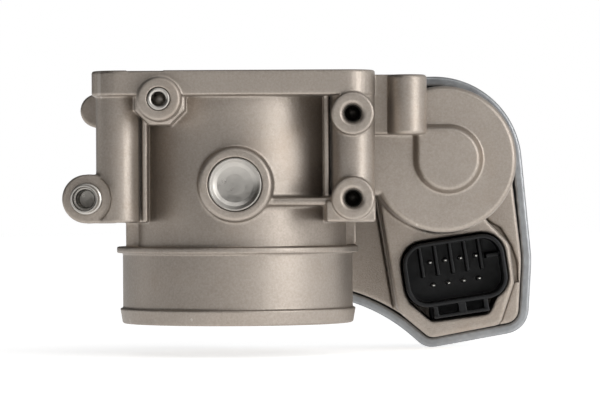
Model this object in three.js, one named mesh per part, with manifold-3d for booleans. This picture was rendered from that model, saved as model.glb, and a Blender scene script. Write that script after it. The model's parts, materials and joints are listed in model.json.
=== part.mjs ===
// Electronic throttle body with its motor, gear train, gear cover and connector.
// Millimetres, +Z up.
//
// Working frame: the origin is where the throttle shaft crosses the bore axis.
// The bore runs along Z. The throttle shaft, the idler and the motor run along Y.
// -Y is the side that carries the plug boss and the mouth of the connector.
// The finished group is moved so that its origin is the bottom centre of the part.

import * as THREE from 'three';
import { mergeVertices } from 'three/addons/utils/BufferGeometryUtils.js';
import Module from 'manifold-3d';

const wasm = await Module();
wasm.setup();

// ---------------------------------------------------------------- dimensions

// Bottom centre of the finished part, in the working frame.
const PART_ORIGIN = [23.0, 11.0, -58.2];

// Clearance left between pieces that touch in the real assembly.
const FIT = 0.3;

// Bore, barrel and hose spigot, round the Z axis.
const BORE_R = 34.0;
const BORE_MOUTH_R = 37.0;
const BARREL_R = 37.5;
const SPIGOT_R = 39.6;
const SPIGOT_END = -47.3;
const BEAD_R = 40.6;
const BEAD_TOP = -42.3;
const RING_R = 41.6;
const RING_LOW = -23.2;
const RING_HIGH = -21.0;

// Manifold flange and its four bolt pillars.
const FLANGE_TOP = 38.2;
const FLANGE_UNDER = 29.7;
const FLANGE_LEFT = -48.2;
const FLANGE_RIGHT = 46.9;
const FLANGE_FRONT = -42.0;
const FLANGE_REAR = 42.0;
const FLANGE_CORNER_R = 9.5;
const BOLT_X = 39.5;
const BOLT_Y = 32.5;
const BOLT_HOLE_R = 3.3;
const PILLAR_R = 7.3;
const WEB_REACH = 31.0;
const PILLAR_FOOT = -12.6;
const FIN_X = 30.5;
const FIN_WIDTH = 1.8;
const FIN_FRONT = -34.0;

// Boss over the front shaft bearing.
const PLUG_BOSS_R = 12.4;
const PLUG_BOSS_FRONT = -47.0;
const PLUG_R = 8.85;

// Threaded bosses beside the right front pillar, [x, z].
const SIDE_BOSSES = [[39.2, 23.5], [39.2, -4.8]];
const SIDE_BOSS_R = 7.15;
const SIDE_BOSS_FRONT = -44.0;
const SIDE_HOLE_R = 2.95;
const SIDE_HOLE_DEPTH = 7.6;

// Upper left boss with its threaded insert.
const UPPER_BOSS = [-25.1, 28.4];
const UPPER_BOSS_R = 7.4;
const UPPER_BOSS_FRONT = -50.0;
const UPPER_PAD_R = 9.2;
const UPPER_PAD_FRONT = -40.8;
const INSERT_R = 3.7;
const INSERT_HOLE_R = 2.4;

// Left lug with its standing sleeve, and the cast boss behind it.
const LUG = [-49.9, -4.6];
const LUG_R = 8.15;
const LUG_FRONT = -37.0;
const LUG_REAR = -20.0;
const SLEEVE_FRONT = -49.0;
const SLEEVE_R = 4.6;
const SLEEVE_COLLAR_R = 5.2;
const SLEEVE_BORE_R = 3.85;
const SLEEVE_STEP_R = 3.0;
const REAR_BOSS = [-48.9, 26.1];
const REAR_BOSS_R = 5.8;

// Upright post on the right of the flange.
const POST = [57.9, -26.0];
const POST_R = 6.6;
const POST_LOW = 16.6;
const POST_HIGH = 36.8;

// Gear case: front face of the plate, its joint face, and the depth of the cover.
const CASE_FRONT = 38.0;
const CASE_JOINT = 46.0;
const COVER_LIP = 44.0;
const COVER_SHOULDER = 48.0;
const COVER_FLOOR = 69.0;
const COVER_BACK = 72.0;
const HOSE_CLEAR_R = 43.8;
const COVER_WALL = 3.0;
const BOARD_Y = COVER_FLOOR - 2.0;
const CASE_INSET = 4.0;
const CAVITY_INSET = 6.0;

// Cover outline: tangent circles taken anticlockwise seen from the front,
// [x, z, radius]. A negative radius bends the outline inwards.
const CASE_CIRCLES = [
  [-8.0, -24.0, 14.0],
  [21.0, -100.0, -61.0],
  [68.5, -51.2, 7.0],
  [94.2, -44.6, 9.0],
  [64.2, -27.5, 40.0],
  [69.6, 7.2, 31.4],
  [-8.0, 24.0, 14.0],
];
const COVER_SCREWS = [
  [-14.5, 26.0],
  [-14.5, -26.0],
  [45.0, 31.3],
  [94.7, -5.0],
  [95.7, -45.3],
  [50.4, -38.2],
];
const SCREW_R = 2.0;
const SCREW_HEAD_R = 3.5;
const SCREW_POST_R = 5.5;

// Motor and the dome cast round it.
const MOTOR = [70.0, 8.0];
const DOME = [70.4, 8.3];
const DOME_R = 24.9;
const DOME_FRONT = -18.0;
const DOME_DISC = [72.0, 8.4];
// Flat ground that fills the corner between the dome and the right-hand pillars.
const SHOULDER = [[44, 18], [44, -3.8], [49.5, -3.8], [54, -9], [60, 18]];
const MOTOR_CAVITY_R = 21.3;
const MOTOR_CAVITY_FRONT = -15.0;
const CAN_R = 20.9;
const MOTOR_SHAFT_R = 1.6;
const BRUSH_Y = [31.3, 35.7];
const EAR_REACH = 24.5;
const EAR_ANGLES = [165, -55];

// Gear train: module, tooth counts, and the two speed steps of the idler.
const GEAR_MODULE = 1.0;
const PRESSURE_ANGLE = 25;
const ADDENDUM = 0.9;
const DEDENDUM = 1.2;
const TOOTH_THINNING = 0.12;
const SECTOR_TEETH = 60;
const IDLER_SMALL_TEETH = 18;
const IDLER_LARGE_TEETH = 54;
const PINION_TEETH = 12;
const SECTOR_TRAVEL = 80;
const SECTOR_MARGIN = 8;

// Throttle shaft and plate.
const SHAFT_R = 4.0;
const RACE_Y = [CASE_JOINT - 1.5, CASE_JOINT + 4.5];
const PLATE_R = 33.6;
const PLATE_THICKNESS = 2.0;
const PLATE_REST_TILT = 6;
const PLATE_SCREW_Y = 15.0;

// Connector: centre [x, z], turn about Y in degrees, and its eight terminals.
const CONNECTOR = [75.7, -30.3];
const CONNECTOR_TURN = 8.5;
const SHROUD = [35.6, 22.5, 7.5];
const SHROUD_WALL = 1.4;
const SHROUD_FRONT = 14.0;
const SHROUD_FLOOR = 28.0;
const NECK = [30.0, 17.0, 5.0];
const TERMINAL_PITCH = 5.4;
const TERMINAL_ROWS = 8.0;
const TERMINAL_SIZE = [1.2, 0.7];

// Tower cast round the connector: [x, z, corner radius].
const TOWER_FRONT = 20.0;
const TOWER_CORNERS = [
  [48.6, -2.0, 2.0],
  [55.6, -44.5, 7.0],
  [67.0, -54.0, 4.0],
  [91.6, -49.4, 3.0],
  [98.4, -33.6, 3.0],
  [95.2, -20.5, 5.0],
  [88.6, -12.0, 4.0],
  [80.0, 0.0, 2.0],
];
const WINDOW_CORNERS = [
  [57.4, -27.0, 1.0],
  [59.6, -41.4, 3.0],
  [67.6, -48.2, 2.0],
  [87.8, -45.6, 3.0],
  [94.2, -31.0, 2.0],
];

// ------------------------------------------------------------------ materials

const FINISHES = {
  castAluminium: [0x9b938a, 0.62, 0.75],
  coverAluminium: [0x8b9299, 0.48, 0.8],
  turnedSteel: [0xb4b6b8, 0.32, 1.0],
  zincSteel: [0xa8acad, 0.42, 0.95],
  plateAluminium: [0xa9a394, 0.4, 0.9],
  springSteel: [0x6f7274, 0.4, 1.0],
  brass: [0xb39a55, 0.35, 1.0],
  copper: [0xa86b48, 0.4, 1.0],
  gearPolymer: [0x26272a, 0.55, 0.0],
  connectorPolymer: [0x17181a, 0.5, 0.0],
  boardLaminate: [0x2f5a3c, 0.55, 0.0],
  ferrite: [0x35373a, 0.7, 0.1],
  carbon: [0x2b2b2c, 0.8, 0.0],
  sealRubber: [0x1b1b1b, 0.85, 0.0],
};

// ------------------------------------------------------------- shape helpers

const rad = THREE.MathUtils.degToRad;

function signedVolume(positions, corners) {
  let sum = 0;
  const a = new THREE.Vector3();
  const b = new THREE.Vector3();
  const c = new THREE.Vector3();
  for (let i = 0; i < corners.length; i += 3) {
    a.fromArray(positions, 3 * corners[i]);
    b.fromArray(positions, 3 * corners[i + 1]);
    c.fromArray(positions, 3 * corners[i + 2]);
    sum += a.dot(b.cross(c));
  }
  return sum / 6;
}

// A closed manifold solid from a geometry, faces turned outwards.
function solid(geometry, frame) {
  if (frame) {
    geometry.applyMatrix4(frame);
  }
  geometry.deleteAttribute('normal');
  geometry.deleteAttribute('uv');
  const welded = mergeVertices(geometry, 1e-4);
  const positions = Float32Array.from(welded.attributes.position.array);
  const all = welded.index.array;
  const corners = [];
  for (let i = 0; i < all.length; i += 3) {
    const face = [all[i], all[i + 1], all[i + 2]];
    if (new Set(face).size === 3) {
      corners.push(...face);
    }
  }
  if (signedVolume(positions, corners) < 0) {
    corners.reverse();
  }
  const mesh = new wasm.Mesh({
    numProp: 3,
    vertProperties: positions,
    triVerts: Uint32Array.from(corners),
  });
  return new wasm.Manifold(mesh);
}

function joined(solids) {
  return solids.reduce((whole, piece) => whole.add(piece));
}

// Number of sides that keeps a circle round at its size.
function sides(radius) {
  return 4 * Math.ceil(THREE.MathUtils.clamp(5.5 * Math.sqrt(radius), 10, 60) / 4);
}

// Turned about the line parallel to Y through [x, z]; profile is [radius, y].
function turnedY(profile, [x, z], frame) {
  const reach = Math.max(...profile.map(([r]) => r));
  const points = profile.map(([r, y]) => new THREE.Vector2(r, y));
  const geometry = new THREE.LatheGeometry(points, sides(reach));
  geometry.translate(x, 0, z);
  return solid(geometry, frame);
}

// Turned about the line parallel to Z through [x, y]; profile is [radius, z].
function turnedZ(profile, [x, y], frame) {
  const reach = Math.max(...profile.map(([r]) => r));
  const points = profile.map(([r, z]) => new THREE.Vector2(r, z));
  const geometry = new THREE.LatheGeometry(points, sides(reach));
  geometry.rotateX(Math.PI / 2);
  geometry.translate(x, y, 0);
  return solid(geometry, frame);
}

// Rod along Y with an optional chamfer on its low-Y edge.
function rodY(radius, y0, y1, centre, chamfer = 0, frame = null) {
  const profile = [[0, y0]];
  if (chamfer > 0) {
    profile.push([radius - chamfer, y0]);
    profile.push([radius, y0 + chamfer]);
  } else {
    profile.push([radius, y0]);
  }
  profile.push([radius, y1]);
  profile.push([0, y1]);
  return turnedY(profile, centre, frame);
}

function rodZ(radius, z0, z1, centre) {
  return turnedZ([[0, z0], [radius, z0], [radius, z1], [0, z1]], centre);
}

function ringY(inner, outer, y0, y1, centre, frame = null) {
  const profile = [[inner, y0], [outer, y0], [outer, y1], [inner, y1], [inner, y0]];
  return turnedY(profile, centre, frame);
}

function block([x0, x1], [y0, y1], [z0, z1], frame = null) {
  const geometry = new THREE.BoxGeometry(x1 - x0, y1 - y0, z1 - z0);
  geometry.translate((x0 + x1) / 2, (y0 + y1) / 2, (z0 + z1) / 2);
  return solid(geometry, frame);
}

function shapeOf(points) {
  return new THREE.Shape(points.map(([a, b]) => new THREE.Vector2(a, b)));
}

// Outline in X and Z, carried along Y from y0 to y1.
function prismY(points, y0, y1, frame = null) {
  const geometry = new THREE.ExtrudeGeometry(shapeOf(points), {
    depth: y1 - y0,
    bevelEnabled: false,
  });
  geometry.rotateX(Math.PI / 2);
  geometry.translate(0, y1, 0);
  return solid(geometry, frame);
}

// The same, with both end edges cut back by one bevel.
function bevelledPrismY(points, y0, y1, bevel) {
  const geometry = new THREE.ExtrudeGeometry(shapeOf(points), {
    depth: y1 - y0 - 2 * bevel,
    bevelEnabled: true,
    bevelThickness: bevel,
    bevelSize: bevel,
    bevelOffset: -bevel,
    bevelSegments: 1,
  });
  geometry.rotateX(Math.PI / 2);
  geometry.translate(0, y1 - bevel, 0);
  return solid(geometry);
}

// Outline in X and Y, carried along Z from z0 to z1.
function prismZ(points, z0, z1) {
  const geometry = new THREE.ExtrudeGeometry(shapeOf(points), {
    depth: z1 - z0,
    bevelEnabled: false,
  });
  geometry.translate(0, 0, z0);
  return solid(geometry);
}

// Points of an arc, both ends included.
function arc(cx, cy, radius, from, to, step) {
  const count = Math.max(1, Math.ceil(Math.abs(to - from) / rad(step)));
  const points = [];
  for (let i = 0; i <= count; i += 1) {
    const angle = from + (to - from) * (i / count);
    points.push([cx + radius * Math.cos(angle), cy + radius * Math.sin(angle)]);
  }
  return points;
}

// Belt round tangent circles, moved inwards by inset.
function belt(circles, inset) {
  const set = circles.map(([x, z, r]) => [x, z, r - inset]);
  const headings = set.map(([x, z, r], i) => {
    const [nx, nz, nr] = set[(i + 1) % set.length];
    const gap = Math.hypot(nx - x, nz - z);
    return Math.atan2(nz - z, nx - x) + Math.asin((r - nr) / gap);
  });
  const points = [];
  set.forEach(([x, z, r], i) => {
    const from = headings[(i + set.length - 1) % set.length];
    let turn = (headings[i] - from) % (2 * Math.PI);
    if (r > 0 && turn < 0) {
      turn += 2 * Math.PI;
    }
    if (r < 0 && turn > 0) {
      turn -= 2 * Math.PI;
    }
    const step = THREE.MathUtils.clamp(160 / Math.abs(r), 6, 18);
    points.push(...arc(x, z, r, from - Math.PI / 2, from + turn - Math.PI / 2, step));
  });
  return points;
}

// Polygon with each corner [x, z, radius] rounded by a tangent arc.
function roundedPolygon(corners) {
  const points = [];
  corners.forEach(([x, z, r], i) => {
    const [px, pz] = corners[(i + corners.length - 1) % corners.length];
    const [nx, nz] = corners[(i + 1) % corners.length];
    const back = new THREE.Vector2(px - x, pz - z).normalize();
    const on = new THREE.Vector2(nx - x, nz - z).normalize();
    const half = Math.acos(THREE.MathUtils.clamp(back.dot(on), -1, 1)) / 2;
    const middle = back.clone().add(on).normalize().multiplyScalar(r / Math.sin(half));
    const centre = new THREE.Vector2(x, z).add(middle);
    const setback = r / Math.tan(half);
    const start = new THREE.Vector2(x, z).addScaledVector(back, setback).sub(centre);
    const end = new THREE.Vector2(x, z).addScaledVector(on, setback).sub(centre);
    let turn = end.angle() - start.angle();
    if (turn > Math.PI) {
      turn -= 2 * Math.PI;
    }
    if (turn < -Math.PI) {
      turn += 2 * Math.PI;
    }
    const from = start.angle();
    points.push(...arc(centre.x, centre.y, r, from, from + turn, 18));
  });
  return points;
}

function roundedRectangle([width, height, radius], [cx, cy] = [0, 0], grow = 0) {
  const w = width / 2 + grow;
  const h = height / 2 + grow;
  const r = radius + grow;
  return roundedPolygon([
    [cx - w, cy - h, r],
    [cx + w, cy - h, r],
    [cx + w, cy + h, r],
    [cx - w, cy + h, r],
  ]);
}

// ------------------------------------------------------------------- housing

function barrel() {
  return turnedZ([
    [0, SPIGOT_END],
    [BEAD_R - 1.0, SPIGOT_END],
    [BEAD_R, SPIGOT_END + 1.4],
    [BEAD_R, BEAD_TOP - 0.6],
    [SPIGOT_R, BEAD_TOP],
    [SPIGOT_R, RING_LOW],
    [RING_R, RING_LOW],
    [RING_R, RING_HIGH],
    [BARREL_R, RING_HIGH],
    [BARREL_R, FLANGE_TOP - 1.0],
    [0, FLANGE_TOP - 1.0],
  ], [0, 0]);
}

function flange() {
  const outline = roundedRectangle(
    [FLANGE_RIGHT - FLANGE_LEFT, FLANGE_REAR - FLANGE_FRONT, FLANGE_CORNER_R],
    [(FLANGE_RIGHT + FLANGE_LEFT) / 2, (FLANGE_REAR + FLANGE_FRONT) / 2],
  );
  const relief = block([-35.8, -24.1], [-43, -37], [FLANGE_TOP - 0.45, FLANGE_TOP + 1]);
  return prismZ(outline, FLANGE_UNDER, FLANGE_TOP).subtract(relief);
}

// Four pillars, the webs that tie them to the barrel, and the front fins.
function pillars() {
  const pieces = [];
  for (const sx of [-1, 1]) {
    for (const sy of [-1, 1]) {
      const [x, y] = [sx * BOLT_X, sy * BOLT_Y];
      pieces.push(rodZ(PILLAR_R, PILLAR_FOOT, FLANGE_UNDER + 1, [x, y]));
      const across = [sx * FIN_X, x].sort((a, b) => a - b);
      const along = [sy * 15, sy * WEB_REACH].sort((a, b) => a - b);
      pieces.push(block(across, along, [PILLAR_FOOT, FLANGE_UNDER + 1]));
    }
    const fin = [sx * FIN_X - FIN_WIDTH / 2, sx * FIN_X + FIN_WIDTH / 2];
    pieces.push(block(fin, [FIN_FRONT, -18], [PILLAR_FOOT + 0.1, FLANGE_UNDER + 1]));
  }
  return joined(pieces);
}

// Low ribs between the hose ring and the pillars.
function skirtRibs() {
  return joined([
    block([-37.7, -33.4], [-17, -11], [RING_HIGH - 1, PILLAR_FOOT + 2]),
    block([33.5, 41.0], [6, 14], [RING_HIGH - 1, PILLAR_FOOT + 2]),
  ]);
}

function frontBosses() {
  const pieces = [rodY(PLUG_BOSS_R, PLUG_BOSS_FRONT, -30, [0, 0], 1.3)];
  pieces.push(block([8, 33], [-38, -20], [-7.1, -4.3]));
  for (const centre of SIDE_BOSSES) {
    pieces.push(rodY(SIDE_BOSS_R, SIDE_BOSS_FRONT, -32, centre, 0.4));
  }
  pieces.push(block([30.3, 46.7], [-42.0, -30], [PILLAR_FOOT, -5.5]));
  pieces.push(rodY(UPPER_BOSS_R, UPPER_BOSS_FRONT, -30, UPPER_BOSS, 0.5));
  const octagon = [];
  for (let i = 0; i < 8; i += 1) {
    const angle = rad(22.5 + 45 * i);
    const [x, z] = UPPER_BOSS;
    octagon.push([x + UPPER_PAD_R * Math.cos(angle), z + UPPER_PAD_R * Math.sin(angle)]);
  }
  pieces.push(prismY(octagon, UPPER_PAD_FRONT, -27));
  return joined(pieces);
}

function sideLugs() {
  const pieces = [rodY(LUG_R, LUG_FRONT, LUG_REAR, LUG, 0.6)];
  pieces.push(block([LUG[0], -40], [LUG_FRONT, LUG_REAR], [LUG[1] - LUG_R, LUG[1] + LUG_R]));
  pieces.push(rodY(REAR_BOSS_R, 10, 34, REAR_BOSS, 0.8));
  pieces.push(block([REAR_BOSS[0], -40], [20, 33], [20.5, 31]));
  pieces.push(turnedZ([
    [0, POST_LOW],
    [POST_R - 1.6, POST_LOW],
    [POST_R, POST_LOW + 1.6],
    [POST_R, POST_HIGH - 1.6],
    [POST_R - 1.6, POST_HIGH],
    [0, POST_HIGH],
  ], POST));
  pieces.push(block([44, POST[0]], [-29, -22], [POST_LOW + 0.2, POST_HIGH - 0.4]));
  pieces.push(block([54, 61.4], [-24, 6], [POST_LOW + 0.4, POST_HIGH - 6.5]));
  return joined(pieces);
}

function motorDome() {
  const dome = turnedY([
    [0, DOME_FRONT],
    [DOME_R - 1.8, DOME_FRONT],
    [DOME_R - 0.6, DOME_FRONT + 0.5],
    [DOME_R, DOME_FRONT + 1.8],
    [DOME_R, CASE_FRONT + 1],
    [0, CASE_FRONT + 1],
  ], DOME);
  const foot = prismY(discOutline(11.9), DOME_FRONT - 1.2, DOME_FRONT + 0.5);
  const disc = prismY(discOutline(10.1), DOME_FRONT - 3.0, DOME_FRONT + 0.5);
  const shoulder = prismY(SHOULDER, DOME_FRONT, CASE_FRONT + 1);
  return joined([dome, foot, disc, shoulder]);
}

// Round outline whose upper left quarter is filled out to a square corner.
function discOutline(radius) {
  const [x, z] = DOME_DISC;
  return [...arc(x, z, radius, -Math.PI, Math.PI / 2, 9), [x - radius, z + radius]];
}

// Plate of the gear case, its rear bosses, and the tower round the connector.
function gearCase() {
  const outline = belt(CASE_CIRCLES, CASE_INSET);
  const bevel = 2.6;
  const plate = bevelledPrismY(outline, CASE_FRONT, CASE_JOINT + 2 * bevel, bevel)
    .intersect(block([-80, 160], [CASE_FRONT - 5, CASE_JOINT], [-90, 90]));
  return joined([
    plate,
    prismY(roundedPolygon(TOWER_CORNERS), TOWER_FRONT, CASE_FRONT + 3.5),
    rodY(12.5, 30, CASE_JOINT + 5, [0, 0]),
    rodY(6.0, CASE_JOINT - 5, CASE_JOINT + 5.2, IDLER),
    rodY(17.0, 26, CASE_JOINT - 2, [0, 0]),
  ]);
}

function housingHoles() {
  const holes = [];
  holes.push(turnedZ([
    [0, SPIGOT_END - 1],
    [BORE_MOUTH_R, SPIGOT_END - 1],
    [BORE_MOUTH_R, SPIGOT_END + 8],
    [BORE_R, SPIGOT_END + 14],
    [BORE_R, FLANGE_TOP - 0.8],
    [BORE_R + 1.2, FLANGE_TOP + 0.4],
    [0, FLANGE_TOP + 0.4],
  ], [0, 0]));
  for (const sx of [-1, 1]) {
    for (const sy of [-1, 1]) {
      const centre = [sx * BOLT_X, sy * BOLT_Y];
      holes.push(rodZ(BOLT_HOLE_R, PILLAR_FOOT - 1, FLANGE_TOP + 1, centre));
    }
  }
  for (const centre of SIDE_BOSSES) {
    const [r, front] = [SIDE_HOLE_R, SIDE_BOSS_FRONT];
    holes.push(turnedY([
      [0, front - 0.5],
      [r + 1.5, front - 0.5],
      [r, front + 1.0],
      [r, front + SIDE_HOLE_DEPTH],
      [0, front + SIDE_HOLE_DEPTH + 0.3],
    ], centre));
  }
  holes.push(rodY(INSERT_R + FIT, UPPER_BOSS_FRONT - 1, UPPER_BOSS_FRONT + 12.6, UPPER_BOSS));
  holes.push(rodY(SLEEVE_R + FIT, LUG_FRONT - 1, LUG_REAR - 3.0, LUG));
  holes.push(rodY(8.4, LUG_FRONT - 10, LUG_FRONT, LUG));
  // Front bearing: plug pocket, bearing and seal seat, shaft clearance.
  holes.push(turnedY([
    [0, PLUG_BOSS_FRONT - 1],
    [PLUG_R + FIT, PLUG_BOSS_FRONT - 1],
    [PLUG_R + FIT, -44.9],
    [7.3, -44.9],
    [7.3, -37.2],
    [SHAFT_R + FIT, -37.2],
    [SHAFT_R + FIT, -30],
    [0, -30],
  ], [0, 0]));
  // Rear bearing: shaft clearance, seal seat, race seat.
  holes.push(turnedY([
    [0, 30],
    [SHAFT_R + FIT, 30],
    [SHAFT_R + FIT, CASE_JOINT - 4.3],
    [7.3, CASE_JOINT - 4.3],
    [7.3, CASE_JOINT - 1.8],
    [9.8, CASE_JOINT - 1.8],
    [9.8, CASE_JOINT + 6],
    [0, CASE_JOINT + 6],
  ], [0, 0]));
  holes.push(rodY(2.5 + FIT, CASE_JOINT - 5.3, CASE_JOINT + 6, IDLER));
  holes.push(rodY(MOTOR_CAVITY_R, MOTOR_CAVITY_FRONT, CASE_JOINT + 1, MOTOR));
  holes.push(rodY(6.5, MOTOR_CAVITY_FRONT - 3.2, MOTOR_CAVITY_FRONT + 1, MOTOR));
  for (const centre of COVER_SCREWS) {
    holes.push(rodY(SCREW_R + FIT, CASE_JOINT - 5.0, CASE_JOINT + 1, centre));
  }
  for (const centre of MOTOR_EARS) {
    holes.push(rodY(1.5 + FIT, CASE_JOINT - 4.2, CASE_JOINT + 1, centre));
  }
  // Window in the tower, and the neck hole through the plate behind it.
  holes.push(prismY(roundedPolygon(WINDOW_CORNERS), TOWER_FRONT - 1, CASE_FRONT));
  const mouth = roundedRectangle(SHROUD, [0, 0], 0.7);
  holes.push(prismY(mouth, TOWER_FRONT - 1, CASE_FRONT, CONNECTOR_FRAME));
  const neck = roundedRectangle(NECK, [0, 0], FIT);
  holes.push(prismY(neck, CASE_FRONT - 1, CASE_JOINT + 1, CONNECTOR_FRAME));
  // Room behind the spigot for the wall of the hose.
  const hose = rodZ(HOSE_CLEAR_R, SPIGOT_END - 1, RING_LOW, [0, 0]);
  const behind = block([-60, 60], [25, 60], [SPIGOT_END, RING_LOW]);
  const spigot = rodZ(SPIGOT_R, SPIGOT_END - 2, RING_LOW + 1, [0, 0]);
  holes.push(hose.intersect(behind).subtract(spigot).subtract(barrel()));
  return joined(holes);
}

function throttleHousing() {
  const body = joined([
    barrel(),
    flange(),
    pillars(),
    skirtRibs(),
    frontBosses(),
    sideLugs(),
    motorDome(),
    gearCase(),
  ]);
  return body.subtract(housingHoles());
}

// --------------------------------------------------------------- cover pieces

function gearCover() {
  const outer = bevelledPrismY(belt(CASE_CIRCLES, 0), COVER_LIP - 4, COVER_BACK, 1.6)
    .intersect(block([-80, 160], [COVER_LIP, COVER_BACK + 1], [-90, 90]));
  const mouth = prismY(belt(CASE_CIRCLES, COVER_WALL), COVER_LIP - 1, COVER_SHOULDER);
  const cavity = prismY(belt(CASE_CIRCLES, CAVITY_INSET), COVER_SHOULDER - 1, COVER_FLOOR);
  const posts = COVER_SCREWS.map((c) => rodY(SCREW_POST_R, COVER_SHOULDER, COVER_BACK - 1, c));
  const bores = COVER_SCREWS.map((c) => turnedY([
    [0, COVER_SHOULDER - 1],
    [SCREW_R + FIT, COVER_SHOULDER - 1],
    [SCREW_R + FIT, COVER_BACK - 3.2],
    [SCREW_HEAD_R + 0.4, COVER_BACK - 3.2],
    [SCREW_HEAD_R + 0.4, COVER_BACK + 1],
    [0, COVER_BACK + 1],
  ], c));
  const shell = outer.subtract(mouth).subtract(cavity);
  const pinSeat = ringY(2.5 + FIT, 5.0, COVER_FLOOR - 2.6, COVER_FLOOR + 0.5, IDLER);
  return joined([shell, pinSeat, ...posts]).subtract(joined(bores));
}

function coverGasket() {
  const [y0, y1] = [CASE_JOINT + FIT, COVER_SHOULDER - FIT];
  const outer = prismY(belt(CASE_CIRCLES, CASE_INSET + 0.3), y0, y1);
  const inner = prismY(belt(CASE_CIRCLES, CAVITY_INSET - 0.2), y0 - 1, y1 + 1);
  const pads = COVER_SCREWS.map((c) => rodY(4.3, y0, y1, c).intersect(outer));
  const holes = COVER_SCREWS.map((c) => rodY(SCREW_R + 0.4, y0 - 1, y1 + 1, c));
  return joined([outer.subtract(inner), ...pads]).subtract(joined(holes));
}

// Screw along Y with a hexagon socket in its head; the head is on the high-Y side.
function socketScrew(centre, shankR, headR, tip, seat, top) {
  const body = turnedY([
    [0, tip],
    [shankR - 0.5, tip],
    [shankR, tip + 0.6],
    [shankR, seat],
    [headR, seat],
    [headR, top - 0.5],
    [headR - 0.5, top],
    [0, top],
  ], centre);
  const socket = [];
  for (let i = 0; i < 6; i += 1) {
    const angle = rad(60 * i);
    const reach = 0.5 * headR;
    const [x, z] = [centre[0] + reach * Math.cos(angle), centre[1] + reach * Math.sin(angle)];
    socket.push([x, z]);
  }
  return body.subtract(prismY(socket, top - 0.45 * (top - seat), top + 1));
}

// ------------------------------------------------------------ shaft and plate

const THROTTLE_FRAME = new THREE.Matrix4().makeRotationY(rad(PLATE_REST_TILT));

function throttleShaft() {
  const rod = turnedY([
    [0, -44.5],
    [SHAFT_R - 0.5, -44.5],
    [SHAFT_R, -44.0],
    [SHAFT_R, CASE_JOINT + 12.5],
    [SHAFT_R - 0.5, CASE_JOINT + 13.0],
    [0, CASE_JOINT + 13.0],
  ], [0, 0], THROTTLE_FRAME);
  const half = PLATE_THICKNESS / 2 + FIT;
  const slot = block([-6, 6], [-33.95, 33.95], [-half, half], THROTTLE_FRAME);
  const bores = [-PLATE_SCREW_Y, PLATE_SCREW_Y].map((y) => {
    const hole = new THREE.CylinderGeometry(1.8, 1.8, 12, 16);
    hole.rotateX(Math.PI / 2);
    hole.translate(0, y, 0);
    return solid(hole, THROTTLE_FRAME);
  });
  return rod.subtract(slot).subtract(joined(bores));
}

function throttlePlate() {
  const half = PLATE_THICKNESS / 2;
  const disc = turnedZ([
    [0, -half],
    [PLATE_R - 0.3, -half],
    [PLATE_R, -half + 0.3],
    [PLATE_R, half - 0.3],
    [PLATE_R - 0.3, half],
    [0, half],
  ], [0, 0], THROTTLE_FRAME);
  const bores = [-PLATE_SCREW_Y, PLATE_SCREW_Y].map((y) => {
    const hole = new THREE.CylinderGeometry(1.8, 1.8, 8, 16);
    hole.rotateX(Math.PI / 2);
    hole.translate(0, y, 0);
    return solid(hole, THROTTLE_FRAME);
  });
  return disc.subtract(joined(bores));
}

// Screw through shaft and plate, head on top, with a crossed slot.
function plateScrew(y) {
  const body = turnedZ([
    [0, -5.4],
    [1.5, -5.4],
    [1.5, 4.3],
    [3.0, 4.3],
    [3.0, 5.0],
    [2.2, 5.9],
    [0, 5.9],
  ], [0, y], THROTTLE_FRAME);
  const slots = joined([
    block([-1.7, 1.7], [y - 0.35, y + 0.35], [5.0, 7], THROTTLE_FRAME),
    block([-0.35, 0.35], [y - 1.7, y + 1.7], [5.0, 7], THROTTLE_FRAME),
  ]);
  return body.subtract(slots);
}

function frontPlug() {
  return turnedY([
    [0, -45.6],
    [PLUG_R - 2.0, -45.6],
    [PLUG_R - 1.05, -46.2],
    [PLUG_R - 1.05, -47.0],
    [PLUG_R, -47.0],
    [PLUG_R, -45.2],
    [0, -45.2],
  ], [0, 0]);
}

function shaftSeal(y0, y1) {
  return turnedY([
    [SHAFT_R + FIT, y0 + 0.3],
    [5.2, y0],
    [7.0, y0],
    [7.0, y1],
    [5.2, y1],
    [SHAFT_R + FIT, y1 - 0.3],
    [SHAFT_R + FIT, y0 + 0.3],
  ], [0, 0]);
}

function cagedBalls() {
  const middle = CASE_JOINT + 1.5;
  const pieces = [ringY(6.45, 7.35, middle - 0.6, middle + 0.6, [0, 0])];
  for (let i = 0; i < 8; i += 1) {
    const ball = new THREE.SphereGeometry(1.1, 8, 5);
    ball.translate(6.9 * Math.cos(rad(45 * i)), middle, 6.9 * Math.sin(rad(45 * i)));
    pieces.push(solid(ball));
  }
  return joined(pieces);
}

class Coil extends THREE.Curve {
  constructor(radius, start, pitch, turns) {
    super();
    Object.assign(this, { radius, start, pitch, turns });
  }

  getPoint(t, target = new THREE.Vector3()) {
    const angle = 2 * Math.PI * this.turns * t;
    const y = this.start + this.pitch * this.turns * t;
    return target.set(this.radius * Math.cos(angle), y, this.radius * Math.sin(angle));
  }
}

function returnSpring() {
  const wire = new THREE.Shape();
  wire.absarc(0, 0, 0.55, 0, 2 * Math.PI, false);
  const coil = new THREE.ExtrudeGeometry(wire, {
    steps: 66,
    curveSegments: 3,
    bevelEnabled: false,
    extrudePath: new Coil(14.5, CASE_JOINT + 1.0, 1.4, 3),
  });
  return solid(coil);
}

// ---------------------------------------------------------------- gear train

// Idler centre: one sector-to-idler distance from the shaft and one
// idler-to-pinion distance from the motor, on the lower side.
function idlerCentre() {
  const near = GEAR_MODULE * (SECTOR_TEETH + IDLER_SMALL_TEETH) / 2;
  const far = GEAR_MODULE * (IDLER_LARGE_TEETH + PINION_TEETH) / 2;
  const [x, z] = MOTOR;
  const span = Math.hypot(x, z);
  const along = (near * near - far * far + span * span) / (2 * span);
  const aside = Math.sqrt(near * near - along * along);
  return [(along * x + aside * z) / span, (along * z - aside * x) / span];
}

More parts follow.
